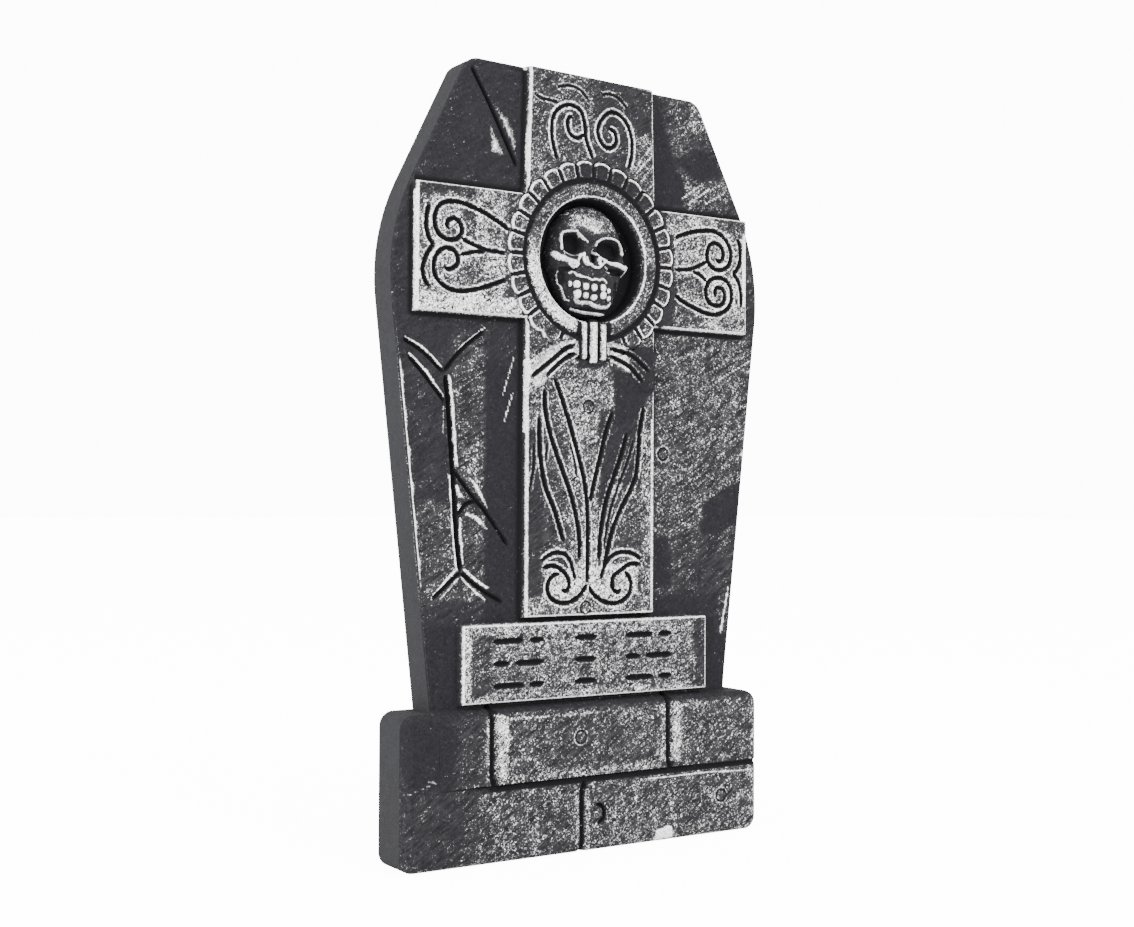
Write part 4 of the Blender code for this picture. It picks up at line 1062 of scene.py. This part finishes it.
def petalWhite(medallion):
    sides, lessAtTop = brushWork["petalRim"]
    pastFoot = medallion["radius"] > medallion["ringOuter"] + medallionShape["petalGap"] + 1.5
    rimSide = np.where(pastFoot, medallion["inPetal"], np.inf)
    rims = band(rimSide - 0.5, *brushPlaces["petalLine"]) * (sides - lessAtTop * medallion["atTop"])
    ends = band(medallion["edge"] - medallion["radius"], *brushPlaces["petalEndLine"])
    return np.maximum(rims, brushWork["petalEnd"] * ends)


def onBars(points):
    bars = np.zeros(len(points))
    for centre, half, bottom, top in knotShape["bars"]:
        bar = ease((half - 0.1 - abs(points[:, 0] - centre)) / 0.8)
        bars = np.maximum(bars, bar * softSpan(points[:, 1], bottom, 1.0, top, 1.0))
    return bars


def recessLipWhite(points, radius):
    middle, half = brushPlaces["recessLine"]
    clearOfKnot = (points[:, 1] > 384) | (abs(points[:, 0]) > 15)
    return brushWork["recessLip"] * clearOfKnot * band(radius, medallionShape["recess"] + middle, half)


def markedWhite(points, white):
    # vent marks, worn spots and single drags of the brush
    for place in ventMarks["places"]:
        white[np.hypot(*(points - np.array(place)).T) < 4.0] *= brushWork["ventInside"]
    for corners, share, soft in brushSpots:
        inside = insideDistance(points, np.array(corners, dtype=float))
        white = np.maximum(white, share * ease(inside / soft + 0.25))
    for line, halfWidth, share in brushLines:
        along = lineDistance(points, np.array(line, dtype=float))[0]
        white = np.maximum(white, share * ease(2 - along / halfWidth))
    return white


def grooveShade(insides, medallion, deepest, lip, offKnot):
    # painted shade in the cuts and between the petals, and a painted shadow along the foot of the cross
    groove = ease(0.3 - lip / 0.9) * ease(deepest / 0.7)
    groove = np.maximum(groove, medallion["onPetals"] * ease(0.6 - medallion["inPetal"]) * offKnot)
    # a band of painted shadow along the field at the foot of the cross
    foot = ease((insides["cross"] + 4.0) / 1.2) * ease(-insides["cross"] / 0.8)
    foot *= (medallion["radius"] > medallion["edge"] + 2) & (insides["slab"] > 2)
    return np.maximum(groove, foot)


def jointSlopes(points):
    # the slopes to the right of the base's upright joints, which catch the brush, and how far the course
    # joint has faded towards its left end
    course = baseShape["course"]
    upperRow = points[:, 1] > course
    slopes = np.zeros(len(points))
    for places, row in ((baseShape["upperJoints"], upperRow), (baseShape["lowerJoints"], ~upperRow)):
        for place in places:
            slopes = np.maximum(slopes, row * softSpan(points[:, 0] - place, *brushPlaces["slopes"]))
    slopes *= ease((baseShape["height"] - 2 - points[:, 1]) / 2)
    inCourse = abs(points[:, 1] - course) < 6
    return slopes * ~inCourse, inCourse * ease((brushPlaces["courseFades"] - points[:, 0]) / 6)


def paintMasks(points):
    # share of brushed white, solid white on lips and edges, and the painted shade in the hollows, along the
    # foot of the cross and beside the knot's bars, which also takes the white away there
    wander = [waves(points, brushPlaces["wanderSize"], seed) for seed in (5.0, 9.0)]
    uneven = points + brushPlaces["wander"] * np.column_stack(wander)
    medallion = medallionPlaces(points)
    outlines = {"cross": crossOutline(), "plaque": plaqueOutline(), "slab": slabOutline()}
    insides = {name: insideDistance(points, outline) for name, outline in outlines.items()}
    ribbons = [insideDistance(points, ribbonOutline(side)) for side in (-1, 1)]
    cover = medallionCover(zoneCover(points, uneven), uneven, medallion)
    lively = ease(cover / 0.3)  # edges and lips are whiter where the brush was busy
    deepest, lip, lipPaint = cutDepth(points)
    least, added = brushWork["lip"]
    white = np.maximum(lipPaint * (least + added * lively), edgeWhite(points, insides, medallion, lively))
    white = np.maximum(white, ribbonWhite(points, lip))
    white = np.where(medallion["onPetals"], petalWhite(medallion), white)
    bars = onBars(points)
    offKnot = 1 - np.maximum(ease(np.maximum(*ribbons) / 0.6), bars)
    white = np.maximum(white, brushWork["bar"] * bars)
    white = np.maximum(white, recessLipWhite(points, medallion["radius"]))
    white = markedWhite(points, white)
    skullWhite, skullShade = skullRelief(points)[1:]
    white = np.where(medallion["inRecess"], skullWhite, white)
    # a painted shadow beside the knot's bars, where the white is low
    half, foot, head = brushPlaces["shadowBesideBars"]
    shadowBesideBars = (abs(points[:, 0]) < half) & (points[:, 1] > foot) & (points[:, 1] < head) & (white < 0.3)
    shade = grooveShade(insides, medallion, deepest, lip, offKnot)
    shade = np.where(medallion["inRecess"], skullShade, np.maximum(shade, shadowBesideBars * offKnot))
    slopes, courseLeft = jointSlopes(points)
    shade = shade * (1 - brushWork["courseLeft"] * courseLeft) * (1 - slopes)
    cover = np.maximum(cover, brushWork["jointSlope"] * slopes)
    return cover * (1 - shade), white * (1 - shade), shade


def giveMasks(headstone):
    mesh = headstone.data
    places = np.empty(3 * len(mesh.vertices))
    mesh.vertices.foreach_get("co", places)
    places = places.reshape(-1, 3) / mm
    points = places[:, [0, 2]]
    behind = places[:, 1] - (slabFace - reliefHeight(points))
    front = ease(1 - behind / 1.5)  # the paint fades over the edge
    cover, white, shade = paintMasks(points)
    # the third mask is the painted shade: a darker colour in the hollows, along the cross's foot and beside
    # the knot's bars
    masks = {"brushCover": cover * front, "brushEdge": white * front, "paintedShade": shade * front}
    for name, values in masks.items():
        attribute = mesh.attributes.new(name, "FLOAT", "POINT")
        attribute.data.foreach_set("value", values.astype(np.float32))
    # faces behind the front edge get no white and are painted a lighter grey as if lit
    isBehind = behind > 0.8
    sides = [float(any(isBehind[corner] for corner in face.vertices)) for face in mesh.polygons]
    mesh.attributes.new("side", "FLOAT", "FACE").data.foreach_set("value", sides)
    print("paint masks made")


# Materials

def toLinear(hexColour):
    channels = [int(hexColour[place:place + 2], 16) / 255 for place in (1, 3, 5)]
    linear = [c / 12.92 if c <= 0.04045 else ((c + 0.055) / 1.055) ** 2.4 for c in channels]
    return (*linear, 1.0)


def addNode(tree, kind, output, settings):
    # what comes from another node is linked, the rest is set
    node = tree.nodes.new(kind)
    for name, value in settings.items():
        if not isinstance(name, int) and name not in node.inputs:
            setattr(node, name, value)
        elif isinstance(value, bpy.types.NodeSocket):
            tree.links.new(value, node.inputs[name])
        else:
            node.inputs[name].default_value = value
    return node.outputs[output]


foamPaint = {
    "darkPaint": "#151417",
    "darkWorn": "#212023",
    # a darker colour for the painted shade in the hollows
    "shadeColour": "#111012",
    # the sides and back are painted a lighter grey than the front, as if lit
    "litSidePaint": "#222224",
    "litSideWorn": "#2a2a2c",
    "whitePaint": "#f6f6f6",
    "speckMm": 2.2,            # the stippled beads that catch the brush, a little coarser than real ones
    "grainMm": 1.0,            # the beads' own pitting
    "streakMm": 1.9,           # width of a bristle's streak
    "streakLength": 5.5,       # how many times longer it is
    "streakAngle": 33.0,
    "patchMm": 11.0,
    "grainShare": 0.3,         # how much each adds to the lumps, next to the specks
    "streakShare": 0.26,
    "patchShare": 0.25,
    "bareHeight": 1.235,       # the lumps that the brush reaches where the cover is 0 and where it is 1
    "fullHeight": 0.785,
    "speckRange": (-0.15, 0.12),
    "speckPower": 3.4,
    "lumpMiddle": 0.905,
    "lumpBreak": 1.2,          # how strongly the lumps break the white edges
    "edgeRange": (0.3, 0.85),
    "edgePower": 1.9,
    "dust": 0.05,
    "ior": 1.5,                # matt water-based paint
    "roughness": 0.9,
    "specularLevel": 0.06,
    "bumpMm": 0.7,
    "bumpStrength": 0.6,
}


def dryBrushedFoam():
    # expanded polystyrene moulded with a stippled skin and painted matt, with white dragged over it by a dry
    # brush: it sits on lumps and edges, breaks into specks and streaks, and leaves the hollows dark. Shade
    # is painted into the hollows, and the sides are painted a lighter grey as if lit
    paint = foamPaint
    material = bpy.data.materials.new("dryBrushedFoam")
    material.use_nodes = True
    tree = material.node_tree
    shader = tree.nodes["Principled BSDF"]
    where = addNode(tree, "ShaderNodeTexCoord", "Object", {})
    cover, edge, paintedShade, side = [addNode(tree, "ShaderNodeAttribute", "Fac", {"attribute_name": name})
                                 for name in ("brushCover", "brushEdge", "paintedShade", "side")]
    turned = addNode(tree, "ShaderNodeMapping", "Vector", {
        "Vector": where, "Rotation": (0, math.radians(paint["streakAngle"]), 0)})
    stretched = addNode(tree, "ShaderNodeMapping", "Vector", {
        "Vector": turned, "Scale": (1 / paint["streakLength"], 1, 1)})
    speck, grain, streak, patch = [
        addNode(tree, "ShaderNodeTexNoise", "Fac", {
            "Vector": place, "Scale": 1 / (sizeMm * mm), "Detail": detail, "Distortion": distortion})
        for place, sizeMm, detail, distortion in (
            (where, paint["speckMm"], 2.5, 1.8), (where, paint["grainMm"], 1.0, 0.0),
            (stretched, paint["streakMm"], 2.0, 0.0), (where, paint["patchMm"], 2.0, 0.0))]

    # specks, grain, streaks and patches together say how high each place stands for the brush
    lumps = speck
    for part, share in ((grain, paint["grainShare"]), (streak, paint["streakShare"]),
                        (patch, paint["patchShare"])):
        lumps = addNode(tree, "ShaderNodeMath", 0, {
            "operation": "MULTIPLY_ADD", 0: part, 1: share, 2: lumps})
    reached = addNode(tree, "ShaderNodeMapRange", "Result", {
        "Value": cover, "To Min": paint["bareHeight"], "To Max": paint["fullHeight"]})
    over = addNode(tree, "ShaderNodeMath", 0, {"operation": "SUBTRACT", 0: lumps, 1: reached})
    low, high = paint["speckRange"]
    caught = addNode(tree, "ShaderNodeMapRange", "Result", {
        "Value": over, "From Min": low, "From Max": high})
    specks = addNode(tree, "ShaderNodeMath", 0, {
        "operation": "POWER", 0: caught, 1: paint["speckPower"]})

    # edges and lips are white but for where the lumps break them
    offMiddle = addNode(tree, "ShaderNodeMath", 0, {
        "operation": "SUBTRACT", 0: lumps, 1: paint["lumpMiddle"]})
    broken = addNode(tree, "ShaderNodeMath", 0, {
        "operation": "MULTIPLY_ADD", 0: offMiddle, 1: paint["lumpBreak"], 2: edge})
    low, high = paint["edgeRange"]
    kept = addNode(tree, "ShaderNodeMapRange", "Result", {
        "Value": broken, "From Min": low, "From Max": high})
    edges = addNode(tree, "ShaderNodeMath", 0, {"operation": "POWER", 0: kept, 1: paint["edgePower"]})

    # fine pits stay dark, and a little white dust lies along the streaks
    pitted = addNode(tree, "ShaderNodeMapRange", "Result", {
        "Value": grain, "From Min": 0.3, "From Max": 0.6, "To Min": 0.35, "To Max": 1.0})
    dusty = addNode(tree, "ShaderNodeMapRange", "Result", {
        "Value": streak, "From Min": 0.35, "From Max": 0.68, "To Max": paint["dust"]})
    dust = addNode(tree, "ShaderNodeMath", 0, {"operation": "MULTIPLY", 0: cover, 1: dusty})
    solid = addNode(tree, "ShaderNodeMath", 0, {"operation": "MAXIMUM", 0: specks, 1: edges})
    solid = addNode(tree, "ShaderNodeMath", 0, {"operation": "MULTIPLY", 0: solid, 1: pitted})
    white = addNode(tree, "ShaderNodeMath", 0, {"operation": "MAXIMUM", 0: solid, 1: dust})
    atFront = addNode(tree, "ShaderNodeMapRange", "Result", {"Value": side, "To Min": 1.0, "To Max": 0.0})
    white = addNode(tree, "ShaderNodeMath", 0, {"operation": "MULTIPLY", 0: white, 1: atFront})

    # the dark coat, the painted shade in the hollows and the sides painted lighter as if lit, then the white
    # over them
    wornFront = addNode(tree, "ShaderNodeMapRange", "Result", {
        "Value": speck, "From Min": 0.35, "From Max": 0.7})
    wornSide = addNode(tree, "ShaderNodeMapRange", "Result", {
        "Value": lumps, "From Min": 0.75, "From Max": 1.1})
    front = addNode(tree, "ShaderNodeMix", 2, {
        "data_type": "RGBA", 0: wornFront, 6: toLinear(paint["darkPaint"]), 7: toLinear(paint["darkWorn"])})
    # the hollows darkened towards the painted shade colour
    front = addNode(tree, "ShaderNodeMix", 2, {
        "data_type": "RGBA", 0: paintedShade, 6: front, 7: toLinear(paint["shadeColour"])})
    # the sides and back in the lighter grey, painted as if lit
    litSides = addNode(tree, "ShaderNodeMix", 2, {
        "data_type": "RGBA", 0: wornSide, 6: toLinear(paint["litSidePaint"]), 7: toLinear(paint["litSideWorn"])})
    dark = addNode(tree, "ShaderNodeMix", 2, {"data_type": "RGBA", 0: side, 6: front, 7: litSides})
    colour = addNode(tree, "ShaderNodeMix", 2, {
        "data_type": "RGBA", 0: white, 6: dark, 7: toLinear(paint["whitePaint"])})

    relief = addNode(tree, "ShaderNodeMapRange", "Result", {
        "Value": cover, "From Max": 0.3, "To Min": 0.4, "To Max": 1.0})
    height = addNode(tree, "ShaderNodeMath", 0, {"operation": "MULTIPLY", 0: lumps, 1: relief})
    bump = addNode(tree, "ShaderNodeBump", "Normal", {
        "Height": height, "Strength": paint["bumpStrength"], "Distance": paint["bumpMm"] * mm})
    tree.links.new(colour, shader.inputs["Base Color"])
    tree.links.new(bump, shader.inputs["Normal"])
    shader.inputs["IOR"].default_value = paint["ior"]
    shader.inputs["Roughness"].default_value = paint["roughness"]
    shader.inputs["Specular IOR Level"].default_value = paint["specularLevel"]
    return material


# Studio and camera

cameraView = {
    "place": (-640.5, slabFace - 960.0, 250.5),
    "turn": 33.0,
    "pitch": 1.349,
    "roll": 0.283,
    "lensMm": 50.555,
}


def makeCamera():
    turn, pitch, roll = [math.radians(cameraView[name]) for name in ("turn", "pitch", "roll")]
    forward = Vector((math.sin(turn) * math.cos(pitch), math.cos(turn) * math.cos(pitch), math.sin(pitch)))
    right = Vector((math.cos(turn), -math.sin(turn), 0))
    up = right.cross(forward)
    rolledRight = right * math.cos(roll) + up * math.sin(roll)
    rolledUp = up * math.cos(roll) - right * math.sin(roll)
    camera = bpy.data.objects.new("camera", bpy.data.cameras.new("camera"))
    bpy.context.collection.objects.link(camera)
    camera.data.lens = cameraView["lensMm"]
    camera.data.sensor_width = 36
    camera.data.clip_end = 50
    axes = Matrix((rolledRight, rolledUp, -forward)).transposed().to_4x4()
    camera.matrix_world = Matrix.Translation(Vector(cameraView["place"]) * mm) @ axes
    bpy.context.scene.camera = camera


studio = {
    "floor": "#f2f2f2",
    "glow": 12.0,  # what the camera sees of the white paper
    "skyGlow": 12.6,
    "sky": 2.2,
    "aim": (0, 0, 0.28),
    # place in metres, size and power
    "lights": (((-2.6, -0.5, 1.2), 1.8, 156.0), ((0.8, -2.4, 1.8), 1.6, 110.0)),
}


def makeStudio():
    # white paper that the camera sees brighter than the light it gives
    bpy.ops.object.select_all(action="DESELECT")
    bpy.ops.mesh.primitive_plane_add(size=40, location=(0, 0, 0))
    floor = bpy.context.object
    floor.name = "floor"
    paper = bpy.data.materials.new("paperFloor")
    paper.use_nodes = True
    shader = paper.node_tree.nodes["Principled BSDF"]
    shader.inputs["Base Color"].default_value = toLinear(studio["floor"])
    shader.inputs["Roughness"].default_value = 0.9
    shader.inputs["Emission Color"].default_value = (1, 1, 1, 1)
    seen = addNode(paper.node_tree, "ShaderNodeLightPath", "Is Camera Ray", {})
    glow = addNode(paper.node_tree, "ShaderNodeMath", 0, {
        "operation": "MULTIPLY", 0: seen, 1: studio["glow"]})
    paper.node_tree.links.new(glow, shader.inputs["Emission Strength"])
    floor.data.materials.append(paper)
    world = bpy.data.worlds.new("softbox")
    world.use_nodes = True
    tree = world.node_tree
    background = tree.nodes["Background"]
    background.inputs["Color"].default_value = (1, 1, 1, 1)
    seen = addNode(tree, "ShaderNodeLightPath", "Is Camera Ray", {})
    strength = addNode(tree, "ShaderNodeMapRange", "Result", {
        "Value": seen, "To Min": studio["sky"], "To Max": studio["skyGlow"]})
    tree.links.new(strength, background.inputs["Strength"])
    bpy.context.scene.world = world
    for number, (place, size, power) in enumerate(studio["lights"]):
        light = bpy.data.lights.new("softLight%d" % number, "AREA")
        light.size = size
        light.energy = power
        lamp = bpy.data.objects.new(light.name, light)
        bpy.context.collection.objects.link(lamp)
        lamp.location = place
        lamp.rotation_euler = (Vector(studio["aim"]) - Vector(place)).to_track_quat("-Z", "Y").to_euler()
    print("studio set")


makeCamera()
headstone = makeHeadstone()
giveMasks(headstone)
headstone.data.materials.append(dryBrushedFoam())
bpy.ops.object.select_all(action="DESELECT")
headstone.select_set(True)
bpy.context.view_layer.objects.active = headstone
bpy.ops.object.shade_smooth_by_angle(angle=math.radians(38))
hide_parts("headstone")
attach(headstone, "root")
makeStudio()
